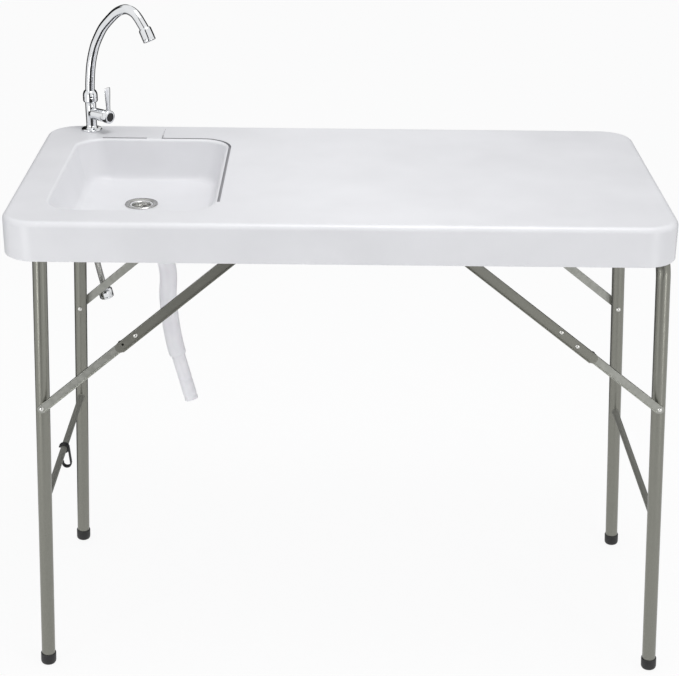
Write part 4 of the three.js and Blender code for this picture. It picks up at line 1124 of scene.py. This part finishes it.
# %% Swan neck and nozzle
NECK_TURN = math.radians(30)
NECK_RADIUS = 9.25
ARCH = [(0, 56.3), (0, 72), (0.6, 90), (1.9, 104), (3.6, 118.3), (6.7, 135.5), (11.7, 153.8),
        (18.4, 172.2), (28.2, 190.7), (40.8, 209.7), (59.5, 228.9), (74.8, 241.5), (91.3, 248.85),
        (104.4, 248.75), (115.6, 243.9), (122.6, 237.3), (127.7, 231.1), (138.2, 216.7), (140.2, 212.8)]
MOUTH = Vector((-382.825, 185.8, 1109.187))
NOZZLE_UP = Vector((-0.4008, 0.2314, 0.8865))


def on_arch(reach, rise):
    """A point of the arch in its upright plane."""
    return Vector(FAUCET) + Vector((reach * math.cos(NECK_TURN), -reach * math.sin(NECK_TURN), rise))


neck_line = smooth_line(metres([on_arch(reach, rise) for reach, rise in ARCH]))
neck = sweep(neck_line, [NECK_RADIUS * MM] * len(neck_line), 48)
finish(neck, "faucet_swan_neck", chrome_plate, "faucet_spout")
nozzle = turned(
    [(7, 6), (7, 0.9), (7.7, 0.1), (10.8, 0.1), (12, 0.7), (12.4, 1.8), (12.4, 4.2), (12, 4.7),
     (12, 5.3), (12.4, 5.8), (12.4, 22.4), (12, 24.4), (11.2, 25.6), (10, 26)], MOUTH, NOZZLE_UP,
)
finish(nozzle, "faucet_nozzle_turned", chrome_plate, "faucet_nozzle")
aerator = turned(
    [(6.9, 5.8), (6.9, 2.6), (6.3, 2.2), (5.4, 2.2), (5.2, 2.9), (4.2, 3.0)], MOUTH, NOZZLE_UP, 48
)
finish(aerator, "faucet_aerator", black_polypropylene, body="spout")

# %% Lever
HUB = valve_start + valve_axis * 43.3
LEVER = [(7, 12, 4.8), (13, 11, 4.5), (20, 11, 4.3), (28, 11.8, 4.2), (38, 13.4, 4.1), (47, 14.6, 4),
         (53, 15, 3.9), (55.6, 15, 3.7), (57, 14.6, 3.2), (57.7, 13.8, 2.5), (58, 12.6, 1.7)]
hub = turned(
    [(12.2, 0), (13, 0.8), (13, 8.4), (12.5, 9.4), (11.6, 10), (9, 10), (8.6, 9.4)], HUB, valve_axis
)
deselect()
height, width, thickness = LEVER[0]
bpy.ops.mesh.primitive_circle_add(
    vertices=40, radius=0.5 * MM, fill_type="NGON", location=(0, 0, height * MM)
)
blade = bpy.context.object
bpy.ops.object.mode_set(mode="EDIT")
bpy.ops.transform.resize(value=(thickness, width, 1), center_override=(0, 0, height * MM))
for next_height, next_width, next_thickness in LEVER[1:]:
    next_ring(height, next_height, next_thickness / thickness, next_width / width)
    height, width, thickness = next_height, next_width, next_thickness
face_outwards()
settle(blade)
blade.rotation_euler = (0, 0, -VALVE_TURN)
blade.location = (HUB + valve_axis * 5) * MM
settle(blade)
combine(hub, blade, "UNION")
finish(hub, "faucet_lever_polished", chrome_plate, "faucet_lever", 40)
cap = turned([(8.2, 9.5), (8.2, 10.3), (7.6, 10.9), (5.6, 11.5), (2.5, 11.8)], HUB, valve_axis)
finish(cap, "faucet_lever_button", black_polypropylene, "faucet_lever_cap")

# %% [markdown]
# Below the worktop a threaded shank holds the faucet with a nut. A thread of
# 1.5 mm pitch is drawn as rings, because its slope can't be seen at this size.

# %% Shank and its nut
PITCH_OF_THREAD = 1.5
thread = [(7.4, -64)]
for step in range(42):
    height = -63.2 + step * PITCH_OF_THREAD
    thread += [(8, height), (7.5, height + PITCH_OF_THREAD / 2)]
thread += [(8, 0), (8, 6.6)]
shank = turned(thread, FAUCET, sides=40)
finish(shank, "faucet_shank_threaded", zinc_plate, "faucet_shank", 20)
dressed_copy("faucet_locknut", zinc_plate, 0.7, 3)

# %% [markdown]
# ## Drain
# The strainer is pressed from thin stainless sheet: a dished flange, a shallow
# cup and seven punched holes. Under the basin a plastic body, a rubber gasket
# and a lugged nut clamp it.

# %% Strainer and drain body
strainer = turned(
    [(16.4, 821.8), (17.1, 822.2), (17.5, 823.2), (17.8, 826.2), (18.2, 827.3), (19.6, 828.4),
     (22, 829.5), (25.5, 830.5), (28.8, 831.3), (30.2, 831.2), (31, 830.4), (30.7, 829.4),
     (22.2, 829.2), (19.9, 827.6), (19, 826.4), (19, 818), (18.5, 816), (17.6, 816), (17.4, 820.2),
     (16.6, 820.6)],
    (*DRAIN, 0), sides=96,
)
for hole in range(7):
    angle = hole * math.pi / 3
    ring = 10.5 if hole < 6 else 0
    hole_place = (DRAIN[0] + ring * math.cos(angle), DRAIN[1] + ring * math.sin(angle), 0)
    combine(strainer, turned([(3.6, 812), (3.6, 826)], hole_place, sides=24), "DIFFERENCE")
finish(strainer, "drain_strainer_pressed", brushed_stainless, "drain_strainer")
dressed_copy("drain_body", white_vinyl, 0.6)
dressed_copy("drain_gasket", nitrile_rubber, 0.5)
dressed_copy("drain_locknut", white_vinyl, 0.8, 3)
